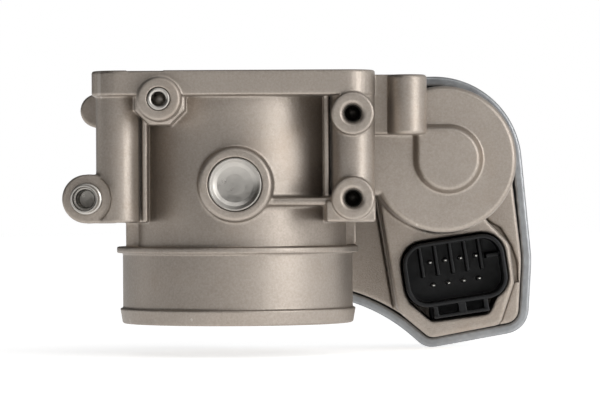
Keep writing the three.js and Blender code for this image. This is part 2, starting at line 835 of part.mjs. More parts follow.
const IDLER = idlerCentre();
const TO_IDLER = Math.atan2(IDLER[1], IDLER[0]);
const TO_MOTOR = Math.atan2(MOTOR[1] - IDLER[1], MOTOR[0] - IDLER[0]);
const MOTOR_EARS = EAR_ANGLES.map((angle) => [
  MOTOR[0] + EAR_REACH * Math.cos(rad(angle)),
  MOTOR[1] + EAR_REACH * Math.sin(rad(angle)),
]);
const CONNECTOR_FRAME = new THREE.Matrix4()
  .makeRotationY(rad(-CONNECTOR_TURN))
  .setPosition(CONNECTOR[0], 0, CONNECTOR[1]);

// Involute teeth from the first to the last, the first centred on angle `from`.
function toothPoints(teeth, count, from) {
  const pitchR = GEAR_MODULE * teeth / 2;
  const pressure = rad(PRESSURE_ANGLE);
  const baseR = pitchR * Math.cos(pressure);
  const tipR = pitchR + ADDENDUM;
  const rootR = pitchR - DEDENDUM;
  const halfPitch = (Math.PI * GEAR_MODULE / 2 - TOOTH_THINNING) / (2 * pitchR);
  const opening = (radius) => {
    const angle = Math.acos(Math.min(1, baseR / radius));
    const involute = Math.tan(angle) - angle;
    return halfPitch + Math.tan(pressure) - pressure - involute;
  };
  const low = Math.max(rootR, baseR);
  const flank = [low, tipR];
  const rise = flank.map((radius) => [radius, -opening(radius)]);
  const fall = flank.map((radius) => [radius, opening(radius)]).reverse();
  const rootHalf = opening(low) + (low > rootR ? 0.02 : 0);
  const ends = [[rootR, -rootHalf], [rootR, rootHalf]];
  const tooth = [ends[0], ...rise, ...fall, ends[1]];
  const points = [];
  for (let i = 0; i < count; i += 1) {
    const middle = from + (2 * Math.PI * i) / teeth;
    for (const [radius, angle] of tooth) {
      points.push([radius * Math.cos(middle + angle), radius * Math.sin(middle + angle)]);
    }
  }
  return points;
}

function moved(points, [x, z]) {
  return points.map(([px, pz]) => [px + x, pz + z]);
}

function wholeGear(teeth, phase, y0, y1, centre) {
  return prismY(moved(toothPoints(teeth, teeth, phase), centre), y0, y1);
}

function sectorGear() {
  const pitch = (2 * Math.PI) / SECTOR_TEETH;
  const span = SECTOR_TRAVEL + 2 * SECTOR_MARGIN;
  const count = Math.round(rad(span) / pitch) + 1;
  const below = Math.round(rad(SECTOR_MARGIN) / pitch);
  const rim = toothPoints(SECTOR_TEETH, count, TO_IDLER - below * pitch);
  const inner = GEAR_MODULE * SECTOR_TEETH / 2 - 6.0;
  const [from, to] = [TO_IDLER - below * pitch, TO_IDLER + (count - below - 1) * pitch];
  const rimRing = [...rim, ...arc(0, 0, inner, to, from, 8)];
  const arms = [0.08, 0.5, 0.92].map((share) => {
    const angle = from + (to - from) * share;
    const arm = new THREE.BoxGeometry(20, 5, 5);
    arm.translate(16, CASE_JOINT + 9.3, 0);
    arm.rotateY(-angle);
    return solid(arm);
  });
  const [y0, y1] = [CASE_JOINT + 6.4, CASE_JOINT + 12.2];
  const hub = rodY(9.6, y0 - 0.2, y1 + 1.8, [0, 0]);
  const whole = joined([prismY(rimRing, y0, y1), hub, ...arms]);
  return whole.subtract(rodY(SHAFT_R + FIT, y0 - 1, y1 + 3, [0, 0]));
}

function idlerGear() {
  const half = Math.PI / IDLER_SMALL_TEETH;
  const [y0, y1] = [CASE_JOINT + 5.6, CASE_JOINT + 20.0];
  const smallPhase = TO_IDLER + Math.PI + half;
  const small = wholeGear(IDLER_SMALL_TEETH, smallPhase, y0, y0 + 8.2, IDLER);
  const large = wholeGear(IDLER_LARGE_TEETH, TO_MOTOR, y1 - 5.6, y1, IDLER);
  const hub = rodY(7.6, y0 + 7.4, y1 - 5.0, IDLER);
  const face = ringY(9.5, 23.5, y1 - 1.6, y1 + 1, IDLER);
  const bore = rodY(2.5 + FIT, y0 - 1, y1 + 1, IDLER);
  return joined([small, large, hub]).subtract(face).subtract(bore);
}

function motorPinion() {
  const half = Math.PI / PINION_TEETH;
  const phase = TO_MOTOR + Math.PI + half;
  const [y0, y1] = [CASE_JOINT + 14.2, CASE_JOINT + 20.2];
  const teeth = wholeGear(PINION_TEETH, phase, y0, y1, MOTOR);
  return teeth.subtract(rodY(MOTOR_SHAFT_R + FIT, y0 - 1, y1 + 1, MOTOR));
}

// --------------------------------------------------------------------- motor

function motorCan() {
  return turnedY([
    [0, -17.6],
    [5.4, -17.6],
    [5.4, -13.8],
    [CAN_R, -13.8],
    [CAN_R, CASE_JOINT - 0.2],
    [CAN_R - 1.4, CASE_JOINT - 0.2],
    [CAN_R - 1.4, -12.4],
    [4.0, -12.4],
    [4.0, -16.4],
    [0, -16.4],
  ], MOTOR);
}

function motorEndPlate() {
  const [y0, y1] = [CASE_JOINT + FIT, CASE_JOINT + 2.0];
  const pieces = [rodY(20.4, y0, y1, MOTOR), rodY(6.2, y0, y1 + 2.0, MOTOR)];
  MOTOR_EARS.forEach((centre, i) => {
    const arm = new THREE.BoxGeometry(10, y1 - y0, 8);
    arm.translate(19.5, (y0 + y1) / 2, 0);
    arm.rotateY(-rad(EAR_ANGLES[i]));
    arm.translate(MOTOR[0], 0, MOTOR[1]);
    pieces.push(rodY(4.0, y0, y1, centre));
    pieces.push(solid(arm));
  });
  const holes = MOTOR_EARS.map((centre) => rodY(1.5 + FIT, y0 - 1, y1 + 1, centre));
  holes.push(rodY(4.0, y0 - 1, y1 + 3, MOTOR));
  return joined(pieces).subtract(joined(holes));
}

// Arc magnet on one side of the can; side is -1 or 1.
function motorMagnet(side) {
  const half = rad(62);
  const middle = side > 0 ? 0 : Math.PI;
  const outline = [
    ...arc(MOTOR[0], MOTOR[1], 19.2, middle - half, middle + half, 12),
    ...arc(MOTOR[0], MOTOR[1], 15.2, middle + half, middle - half, 12),
  ];
  return prismY(outline, -9, 25);
}

function motorArmature() {
  const core = rodY(14.7, -8, 24, MOTOR);
  const coils = rodY(12.2, -11, 28.4, MOTOR);
  const slots = [];
  for (let i = 0; i < 8; i += 1) {
    const slot = new THREE.BoxGeometry(4, 36, 1.8);
    slot.translate(13.9, 8, 0);
    slot.rotateY(rad(45 * i));
    slot.translate(MOTOR[0], 0, MOTOR[1]);
    slots.push(solid(slot));
  }
  const bore = rodY(MOTOR_SHAFT_R + FIT, -20, 40, MOTOR);
  return core.subtract(joined(slots)).add(coils).subtract(bore);
}

function brushHolder() {
  const pieces = [ringY(8.0, 19.0, CASE_JOINT - 9.0, CASE_JOINT - 5.6, MOTOR)];
  const pockets = [];
  for (const side of [-1, 1]) {
    const outer = [MOTOR[0] + side * 13.4 - 3.8, MOTOR[0] + side * 13.4 + 3.8];
    const [z, depth] = [MOTOR[1], [BRUSH_Y[0] - 1.5, CASE_JOINT - 8.4]];
    pieces.push(block(outer, depth, [z - 3.6, z + 3.6]));
    const way = [outer[0] - 1, outer[1] + 1];
    pockets.push(block(way, [BRUSH_Y[0] - FIT, BRUSH_Y[1] + FIT], [z - 2.3, z + 2.3]));
  }
  return joined(pieces).subtract(joined(pockets));
}

function motorBrush(side) {
  const reach = side > 0 ? [6.6, 13.6] : [-13.6, -6.6];
  const [x, z] = MOTOR;
  return block([x + reach[0], x + reach[1]], BRUSH_Y, [z - 2.0, z + 2.0]);
}

// ----------------------------------------------------------------- connector

function terminalPlaces() {
  const places = [];
  for (const row of [0.5, -0.5]) {
    for (const column of [-1.5, -0.5, 0.5, 1.5]) {
      places.push([column * TERMINAL_PITCH, row * TERMINAL_ROWS]);
    }
  }
  return places;
}

function terminal([u, w]) {
  const [a, b] = [TERMINAL_SIZE[0] / 2, TERMINAL_SIZE[1] / 2];
  const [tipY, endY] = [18.8, CASE_JOINT + 4];
  const blade = new THREE.BoxGeometry(2 * a, endY - tipY, 2 * b);
  blade.translate(u, (endY + tipY) / 2, w);
  const tip = new THREE.CylinderGeometry(b * 1.414, b * 0.7, 1.0, 4);
  tip.rotateY(Math.PI / 4);
  tip.scale(a / b, 1, 1);
  tip.translate(u, tipY - 0.5, w);
  return solid(blade, CONNECTOR_FRAME).add(solid(tip, CONNECTOR_FRAME));
}

function connectorBody() {
  const frame = CONNECTOR_FRAME;
  const rear = CASE_FRONT - 2.0;
  const outer = prismY(roundedRectangle(SHROUD), SHROUD_FRONT, rear, frame);
  const inside = roundedRectangle(SHROUD, [0, 0], -SHROUD_WALL);
  const socket = prismY(inside, SHROUD_FRONT - 1, SHROUD_FLOOR, frame);
  const neck = prismY(roundedRectangle(NECK), SHROUD_FLOOR + 2, CASE_JOINT + 1.4, frame);
  const below = -SHROUD[1] / 2;
  const pieces = [outer.subtract(socket), neck];
  for (const u of [-8.7, 0, 8.7]) {
    const rib = [u - 0.8, u + 0.8];
    pieces.push(block(rib, [SHROUD_FRONT + 1, 26], [below - 4.2, below + 0.7], frame));
  }
  const bar = [below - 4.3, below - 3.0];
  pieces.push(block([-9.5, 9.5], [SHROUD_FRONT + 1, SHROUD_FRONT + 5], bar, frame));
  for (const u of [-12.0, 4.6, 10.6]) {
    const key = [u - 0.6, u + 0.6];
    pieces.push(block(key, [SHROUD_FRONT + 3, SHROUD_FLOOR + 1], [7.4, 10.4], frame));
  }
  const bores = terminalPlaces().map(([u, w]) => {
    const [a, b] = [TERMINAL_SIZE[0] / 2 + FIT, TERMINAL_SIZE[1] / 2 + FIT];
    return block([u - a, u + a], [20, CASE_JOINT + 5], [w - b, w + b], frame);
  });
  return joined(pieces).subtract(joined(bores));
}

function connectorSeal() {
  const [y0, y1] = [CASE_FRONT - 1.7, CASE_FRONT - FIT];
  const outer = prismY(roundedRectangle(NECK, [0, 0], 2.4), y0, y1, CONNECTOR_FRAME);
  const inner = prismY(roundedRectangle(NECK, [0, 0], FIT), y0 - 1, y1 + 1, CONNECTOR_FRAME);
  return outer.subtract(inner);
}

// ------------------------------------------------------------------ assembly

const group = new THREE.Group();
group.name = 'throttle_body';

function place(name, finish, body) {
  const [color, roughness, metalness] = FINISHES[finish];
  const material = new THREE.MeshStandardMaterial({ color, roughness, metalness });
  material.name = finish;
  const { vertProperties, triVerts } = body.getMesh();
  const geometry = new THREE.BufferGeometry();
  const positions = new THREE.BufferAttribute(Float32Array.from(vertProperties), 3);
  geometry.setAttribute('position', positions);
  geometry.setIndex(new THREE.BufferAttribute(Uint32Array.from(triVerts), 1));
  geometry.translate(-PART_ORIGIN[0], -PART_ORIGIN[1], -PART_ORIGIN[2]);
  geometry.computeVertexNormals();
  const mesh = new THREE.Mesh(geometry, material);
  mesh.name = name;
  group.add(mesh);
}

place('throttle_housing', 'castAluminium', throttleHousing());
place('gear_cover', 'coverAluminium', gearCover());
place('cover_gasket', 'sealRubber', coverGasket());
COVER_SCREWS.forEach((centre, i) => {
  const [tip, seat, top] = [CASE_JOINT - 4.6, COVER_BACK - 2.9, COVER_BACK + 0.3];
  const screw = socketScrew(centre, SCREW_R, SCREW_HEAD_R, tip, seat, top);
  place(`cover_screw_${i + 1}`, 'zincSteel', screw);
});

place('front_bearing_plug', 'turnedSteel', frontPlug());
place('front_needle_bearing', 'turnedSteel', ringY(SHAFT_R + FIT, 7.0, -44.6, -39.2, [0, 0]));
place('front_shaft_seal', 'sealRubber', shaftSeal(-38.9, -37.5));
place('rear_shaft_seal', 'sealRubber', shaftSeal(CASE_JOINT - 4.0, CASE_JOINT - 2.1));
place('rear_bearing_outer_race', 'turnedSteel', ringY(8.3, 9.5, ...RACE_Y, [0, 0]));
place('rear_bearing_balls', 'turnedSteel', cagedBalls());
place('return_spring', 'springSteel', returnSpring());

place('throttle_shaft', 'turnedSteel', throttleShaft());
place('throttle_plate', 'plateAluminium', throttlePlate());
place('plate_screw_front', 'zincSteel', plateScrew(-PLATE_SCREW_Y));
place('plate_screw_rear', 'zincSteel', plateScrew(PLATE_SCREW_Y));
place('rear_bearing_inner_race', 'turnedSteel', ringY(SHAFT_R + FIT, 5.5, ...RACE_Y, [0, 0]));
const [CLIP_LOW, CLIP_HIGH] = [CASE_JOINT + 4.8, CASE_JOINT + 5.7];
place('shaft_circlip', 'springSteel', ringY(SHAFT_R + FIT, 6.2, CLIP_LOW, CLIP_HIGH, [0, 0]));
place('sector_gear', 'gearPolymer', sectorGear());
place('sensor_magnet', 'ferrite', rodY(8.0, CASE_JOINT + 14.3, CASE_JOINT + 18.8, [0, 0]));

place('idler_pin', 'turnedSteel', rodY(2.5, CASE_JOINT - 5.0, COVER_FLOOR - 0.4, IDLER, 0.4));
place('idler_gear', 'gearPolymer', idlerGear());

place('motor_can', 'zincSteel', motorCan());
place('motor_end_plate', 'zincSteel', motorEndPlate());
place('motor_magnet_left', 'ferrite', motorMagnet(-1));
place('motor_magnet_right', 'ferrite', motorMagnet(1));
place('motor_bush_front', 'brass', ringY(MOTOR_SHAFT_R + FIT, 3.7, -16.0, -12.7, MOTOR));
place('motor_bush_rear', 'brass', ringY(MOTOR_SHAFT_R + FIT, 3.7, CASE_JOINT - 1.6, CASE_JOINT + 4.2, MOTOR));
place('motor_wave_washer', 'springSteel', ringY(9.0, 20.0, -14.7, -14.1, MOTOR));
MOTOR_EARS.forEach((centre, i) => {
  const [tip, seat, top] = [CASE_JOINT - 3.8, CASE_JOINT + 2.3, CASE_JOINT + 4.4];
  const screw = socketScrew(centre, 1.5, 2.7, tip, seat, top);
  place(`motor_screw_${i + 1}`, 'zincSteel', screw);
});
place('motor_shaft', 'turnedSteel', rodY(MOTOR_SHAFT_R, -15.8, CASE_JOINT + 21.0, MOTOR, 0.3));
place('motor_armature', 'copper', motorArmature());
place('motor_commutator', 'copper', ringY(MOTOR_SHAFT_R + FIT, 6.3, 28.8, 36.7, MOTOR));
place('motor_pinion', 'brass', motorPinion());
place('brush_holder', 'gearPolymer', brushHolder());
place('brush_1', 'carbon', motorBrush(-1));
place('brush_2', 'carbon', motorBrush(1));

place('connector_body', 'connectorPolymer', connectorBody());
place('connector_seal', 'sealRubber', connectorSeal());
terminalPlaces().forEach((spot, i) => {
  place(`terminal_${i + 1}`, 'zincSteel', terminal(spot));
});
place('sensor_board', 'boardLaminate', block([-15.0, 16.0], [BOARD_Y, BOARD_Y + 1.6], [-19.0, 19.0]));
place('sensor_chip', 'connectorPolymer', block([-5.0, 5.0], [BOARD_Y - 1.6, BOARD_Y - FIT], [-5.0, 5.0]));

place('upper_boss_insert', 'zincSteel', turnedY([
  [INSERT_HOLE_R, UPPER_BOSS_FRONT - 0.3],
  [INSERT_R, UPPER_BOSS_FRONT - 0.3],
  [INSERT_R, UPPER_BOSS_FRONT + 12.0],
  [0, UPPER_BOSS_FRONT + 12.0],
  [0, UPPER_BOSS_FRONT + 10.5],
  [INSERT_HOLE_R, UPPER_BOSS_FRONT + 10.5],
  [INSERT_HOLE_R, UPPER_BOSS_FRONT - 0.3],
], UPPER_BOSS));
place('lug_sleeve', 'turnedSteel', turnedY([
  [SLEEVE_BORE_R, SLEEVE_FRONT],
  [SLEEVE_R - 0.3, SLEEVE_FRONT],
  [SLEEVE_R, SLEEVE_FRONT + 0.3],
  [SLEEVE_R, LUG_FRONT - 1.9],
  [SLEEVE_COLLAR_R, LUG_FRONT - 1.5],
  [SLEEVE_COLLAR_R, LUG_FRONT - FIT],
  [SLEEVE_R, LUG_FRONT - FIT],
  [SLEEVE_R, LUG_REAR - 3.4],
  [0, LUG_REAR - 3.4],
  [0, LUG_REAR - 4.8],
  [SLEEVE_STEP_R, LUG_REAR - 4.8],
  [SLEEVE_STEP_R, SLEEVE_FRONT + 7.0],
  [SLEEVE_BORE_R, SLEEVE_FRONT + 7.0],
  [SLEEVE_BORE_R, SLEEVE_FRONT],
], LUG));

export default group;
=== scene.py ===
"""Looks of the throttle body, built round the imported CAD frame.

Lengths in the build functions are millimetres in the shaft frame: the origin is on the
throttle shaft where it crosses the bore, X runs towards the motor, Y from the plug boss
towards the gear cover, and Z up the bore. to_row() turns them into row-frame metres.
"""
import json
import math

import bmesh
import bpy
import numpy as np
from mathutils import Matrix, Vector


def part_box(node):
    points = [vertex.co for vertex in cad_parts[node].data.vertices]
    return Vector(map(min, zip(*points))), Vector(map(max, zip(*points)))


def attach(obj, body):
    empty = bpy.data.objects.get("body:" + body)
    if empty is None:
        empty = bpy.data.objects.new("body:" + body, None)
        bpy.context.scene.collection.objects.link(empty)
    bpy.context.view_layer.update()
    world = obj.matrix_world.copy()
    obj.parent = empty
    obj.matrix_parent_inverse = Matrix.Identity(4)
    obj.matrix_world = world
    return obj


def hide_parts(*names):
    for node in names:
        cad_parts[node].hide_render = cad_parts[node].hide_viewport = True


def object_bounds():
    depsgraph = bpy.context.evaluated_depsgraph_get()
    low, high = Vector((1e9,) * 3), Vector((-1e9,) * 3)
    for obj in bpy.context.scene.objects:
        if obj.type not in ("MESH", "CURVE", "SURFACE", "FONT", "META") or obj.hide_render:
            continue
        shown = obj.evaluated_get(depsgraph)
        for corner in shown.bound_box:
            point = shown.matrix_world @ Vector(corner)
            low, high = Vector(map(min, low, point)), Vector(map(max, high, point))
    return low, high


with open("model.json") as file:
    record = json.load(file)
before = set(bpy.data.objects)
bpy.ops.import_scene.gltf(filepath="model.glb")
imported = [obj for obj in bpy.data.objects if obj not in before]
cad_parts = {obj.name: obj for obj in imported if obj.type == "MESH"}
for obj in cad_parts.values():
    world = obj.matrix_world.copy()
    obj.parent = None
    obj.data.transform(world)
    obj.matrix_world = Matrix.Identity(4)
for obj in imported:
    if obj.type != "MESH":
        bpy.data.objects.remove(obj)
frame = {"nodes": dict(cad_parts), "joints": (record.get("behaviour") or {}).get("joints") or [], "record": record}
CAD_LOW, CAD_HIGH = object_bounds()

import openvdb
from mathutils import Vector

# ---------------------------------------------------------------- frame and sizes

JOINTS = {joint["name"]: joint for joint in frame["joints"]}
SHAFT = Vector(JOINTS["throttle_turn"]["pos_m"])


def to_row(x, y, z):
    """A shaft-frame point in millimetres as a row-frame point in metres."""
    return SHAFT + Vector((x, y, z)) / 1000


def from_row(point):
    """A row-frame point in metres as a shaft-frame point in millimetres."""
    return (Vector(point) - SHAFT) * 1000


def box_mm(node):
    """Lowest and highest corner of a CAD node, in the shaft frame."""
    low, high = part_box(node)
    return from_row(low), from_row(high)


def centre_mm(node):
    low, high = box_mm(node)
    return (low + high) / 2


IDLER = from_row(JOINTS["idler_turn"]["pos_m"])
MOTOR = from_row(JOINTS["rotor_turn"]["pos_m"])
INSERT = centre_mm("upper_boss_insert")
SLEEVE = centre_mm("lug_sleeve")
SCREWS = [centre_mm(f"cover_screw_{i}") for i in range(1, 7)]
EARS = [centre_mm(f"motor_screw_{i}") for i in range(1, 3)]

BORE_R, BARREL_R, SPIGOT_R, BEAD_R, RING_R = 34.0, 37.5, 39.6, 40.6, 41.6
SPIGOT_END, RING_LOW, RING_HIGH, HOSE_ROOM_R = -47.3, -23.2, -21.0, 43.8
FLANGE_TOP, FLANGE_UNDER, PILLAR_FOOT = 38.2, 29.7, -12.6
FLANGE_LEFT, FLANGE_RIGHT, FLANGE_HALF = -48.2, 46.9, 42.0
BOLT_X, BOLT_Y, PILLAR_R, BOLT_HOLE_R = 39.5, 32.5, 7.3, 3.3
FIN_X, FIN_HALF, WEB_NEAR, WEB_FAR = 30.5, 0.9, 15.0, 27.0
PLUG_SEAT_R, BEARING_SEAT_R, SHAFT_HOLE_R, REAR_SEAT_R = 9.0, 7.3, 4.3, 9.8
MOTOR_CAVITY_R, MOTOR_NOSE_R, IDLER_PIN_R = 21.3, 6.5, 2.8
SCREW_HOLE_R, SCREW_HEAD_R, EAR_HOLE_R = 2.3, 3.9, 1.8
TAPPED_R, INSERT_SEAT_R, SLEEVE_SEAT_R, LUG_COUNTERBORE_R = 3.0, 3.85, 4.9, 8.4
CASE_FRONT, CASE_JOINT, COVER_LIP, COVER_SHOULDER = 38.0, 46.0, 44.0, 48.0
COVER_FLOOR, COVER_BACK, COVER_SKIRT, COVER_WALL, CASE_INSET = 69.0, 72.0, 3.45, 6.0, 4.0
SIDE_BOSSES, SIDE_BOSS_R, SIDE_BOSS_FRONT = [(39.2, 23.5), (39.2, -4.8)], 7.15, -44
PLUG_BOSS_R, PLUG_BOSS_FRONT = 12.4, -47
UPPER_BOSS_R, UPPER_BOSS_FRONT, UPPER_PAD_R, UPPER_PAD_FRONT = 7.4, -50, 9.2, -40.8
REAR_BOSS, REAR_BOSS_R = (-48.9, 26.1), 5.8
LUG_FRONT, LUG_REAR, LUG_R, SLEEVE_FRONT = -37.0, -20.0, 8.15, -49.0
POST, POST_R, POST_LOW, POST_HIGH = (57.9, -26.0), 6.6, 16.6, 36.8
DOME, DOME_R, DOME_FRONT = (70.4, 8.3), 24.9, -18.0
DOME_DISC, DOME_DISC_R, DOME_DISC_RISE = (72.0, 8.4), 10.3, 3.0
# Flat ground between the dome and the right-hand pillars.
SHOULDER = [(44, 18), (44, -3.8), (49.5, -3.8), (54, -9), (60, 18)]
CONNECTOR, CONNECTOR_TURN = (75.7, -30.3), math.radians(8.5)
SHROUD, SHROUD_FRONT, SHROUD_FLOOR = (35.6, 22.5, 7.5), 14.0, 28.0
CASE_CIRCLES = [
    (-8.0, -24.0, 14.0),
    (21.0, -100.0, -61.0),
    (68.5, -51.2, 7.0),
    (94.2, -44.6, 9.0),
    (64.2, -27.5, 40.0),
    (69.6, 7.2, 31.4),
    (-8.0, 24.0, 14.0),
]
TOWER_FRONT = 20.0
PLATE_CIRCLES = CASE_CIRCLES[:5] + [(69.3, 6.6, 31.0)] + CASE_CIRCLES[6:]
TOWER = [
    (48.6, -2.0, 2.0),
    (55.6, -44.5, 7.0),
    (67.0, -54.0, 4.0),
    (91.6, -49.4, 3.0),
    (96.6, -34.6, 0.8),
    (95.0, -21.0, 6.0),
    (87.2, -13.0, 2.0),
    (80.0, 0.0, 2.0),
]
# Groove in the plate along the tower's right edge.
CHANNEL = [
    (87.6, -12.6),
    (92.8, -15.4),
    (96.8, -21.7),
    (98.7, -27.5),
    (99.2, -34.8),
    (95, -34.8),
    (85, -14),
]
TERMINALS = [(5.4 * column, 4.0 * row) for row in (1, -1) for column in (-1.5, -0.5, 0.5, 1.5)]
WINDOW = [
    (57.4, -27.0, 1.0),
    (59.6, -41.4, 3.0),
    (67.6, -48.2, 2.0),
    (87.8, -45.6, 3.0),
    (94.2, -31.0, 2.0),
]

# ---------------------------------------------------------------- outlines


def arc(cx, cz, radius, start, end, step=6.0):
    count = max(1, math.ceil(abs(end - start) / math.radians(step)))
    turns = [start + (end - start) * i / count for i in range(count + 1)]
    return [(cx + radius * math.cos(t), cz + radius * math.sin(t)) for t in turns]


def belt(circles, inset=0.0):
    """Outline of a belt round tangent circles, moved inwards by inset."""
    ring = [(x, z, r - inset) for x, z, r in circles]
    heads = []
    for (x, z, r), (nx, nz, nr) in zip(ring, ring[1:] + ring[:1]):
        gap = math.hypot(nx - x, nz - z)
        heads.append(math.atan2(nz - z, nx - x) + math.asin((r - nr) / gap))
    points = []
    for (x, z, r), start, end in zip(ring, heads[-1:] + heads[:-1], heads):
        turn = math.fmod(end - start, 2 * math.pi)
        if r > 0 > turn:
            turn += 2 * math.pi
        if r < 0 < turn:
            turn -= 2 * math.pi
        start -= math.pi / 2
        points += arc(x, z, r, start, start + turn, min(12.0, max(2.0, 90 / abs(r))))
    return points


def rounded_polygon(corners):
    """Polygon whose corners (x, z, radius) are rounded by tangent arcs."""
    points = []
    for i, (x, z, r) in enumerate(corners):
        here = Vector((x, z))
        back = (Vector(corners[i - 1][:2]) - here).normalized()
        on = (Vector(corners[(i + 1) % len(corners)][:2]) - here).normalized()
        half = back.angle(on) / 2
        centre = here + (back + on).normalized() * (r / math.sin(half))
        first = here + back * (r / math.tan(half)) - centre
        last = here + on * (r / math.tan(half)) - centre
        start = math.atan2(first.y, first.x)
        turn = math.atan2(last.y, last.x) - start
        turn = (turn + math.pi) % (2 * math.pi) - math.pi
        points += arc(centre.x, centre.y, r, start, start + turn, 10)
    return points


def disc_outline(radius):
    """Round outline whose upper left quarter is filled out to a square corner."""
    x, z = DOME_DISC
    return arc(x, z, radius, -math.pi, math.pi / 2, 4) + [(x - radius, z + radius)]


def rounded_rectangle(width, height, radius, centre=(0, 0)):
    (x, z), w, h = centre, width / 2, height / 2
    corners = [(x - w, z - h), (x + w, z - h), (x + w, z + h), (x - w, z + h)]
    return rounded_polygon([(a, b, radius) for a, b in corners])


# ---------------------------------------------------------------- distance fields


def meet(a, b, edge):
    """Distance to the overlap of two solids, the shared edge rounded by edge."""
    a, b = a + edge, b + edge
    return np.minimum(np.maximum(a, b), 0) + np.hypot(np.maximum(a, 0), np.maximum(b, 0)) - edge


def polygon_distance(points, x, z):
    """Signed distance to a closed outline, negative inside."""
    best = np.full(np.broadcast(x, z).shape, 1e9, np.float32)
    inside = np.zeros(best.shape, bool)
    for (ax, az), (bx, bz) in zip(points, points[1:] + points[:1]):
        ex, ez = bx - ax, bz - az
        length = ex * ex + ez * ez
        if length < 1e-9:
            continue
        wx, wz = x - ax, z - az
        along = np.clip((wx * ex + wz * ez) / length, 0, 1)
        best = np.minimum(best, (wx - ex * along) ** 2 + (wz - ez * along) ** 2)
        above = (z >= az) & (z < bz) | (z >= bz) & (z < az)
        if abs(ez) > 1e-9:
            inside ^= above & (x < ax + (z - az) / ez * ex)
    return np.where(inside, -1, 1) * np.sqrt(best)


class Solid:
    """A signed distance with the box it lies in."""

    def __init__(self, low, high, distance):
        self.low, self.high, self.distance = low, high, distance


def rod(axis, centre, radius, low, high, edge=0.3):
    """Cylinder along axis "y" or "z" through the other two coordinates of centre."""
    a, b = centre

    def distance(x, y, z):
        across, along = (z, y) if axis == "y" else (y, z)
        round_part = np.hypot(x - a, across - b) - radius
        return meet(round_part, np.abs(along - (low + high) / 2) - (high - low) / 2, edge)

    if axis == "y":
        return Solid((a - radius, low, b - radius), (a + radius, high, b + radius), distance)
    return Solid((a - radius, b - radius, low), (a + radius, b + radius, high), distance)


def cone(axis, centre, low, low_radius, high, high_radius, edge=0.0):
    """Frustum along axis, from low_radius at low to high_radius at high."""
    a, b = centre
    slope = (high_radius - low_radius) / (high - low)
    scale = 1 / math.hypot(1, slope)
    reach = max(low_radius, high_radius)

    def distance(x, y, z):
        across, along = (z, y) if axis == "y" else (y, z)
        side = np.hypot(x - a, across - b) - (low_radius + slope * (along - low))
        ends = np.abs(along - (low + high) / 2) - (high - low) / 2
        return meet(side * scale, ends, edge)

    if axis == "y":
        return Solid((a - reach, low, b - reach), (a + reach, high, b + reach), distance)
    return Solid((a - reach, b - reach, low), (a + reach, b + reach, high), distance)


def block(low, high, edge=0.3):
    """Box with its edges rounded by edge."""
    middle = [(p + q) / 2 for p, q in zip(low, high)]
    half = [(q - p) / 2 - edge for p, q in zip(low, high)]

    def distance(x, y, z):
        q = [np.abs(p - m) - h for p, m, h in zip((x, y, z), middle, half)]
        outside = np.sqrt(sum(np.maximum(d, 0) ** 2 for d in q))
        return outside + np.minimum(np.maximum(np.maximum(q[0], q[1]), q[2]), 0) - edge

    return Solid(low, high, distance)


def prism(points, low, high, edge=0.3, axis="y", grow=0.0, taper=0.0):
    """Outline across axis, grown (and widened by taper per mm) from low to high."""
    a = [p[0] for p in points]
    b = [p[1] for p in points]

    def distance(x, y, z):
        across, along = (z, y) if axis == "y" else (y, z)
        flat = polygon_distance(points, x, across) - grow - taper * (along - low)
        flat = flat / math.hypot(1, taper)
        return meet(flat, np.abs(along - (low + high) / 2) - (high - low) / 2, edge)

    reach = grow + taper * (high - low)
    a0, a1, b0, b1 = min(a) - reach, max(a) + reach, min(b) - reach, max(b) + reach
    if axis == "y":
        return Solid((a0, low, b0), (a1, high, b1), distance)
    return Solid((a0, b0, low), (a1, b1, high), distance)


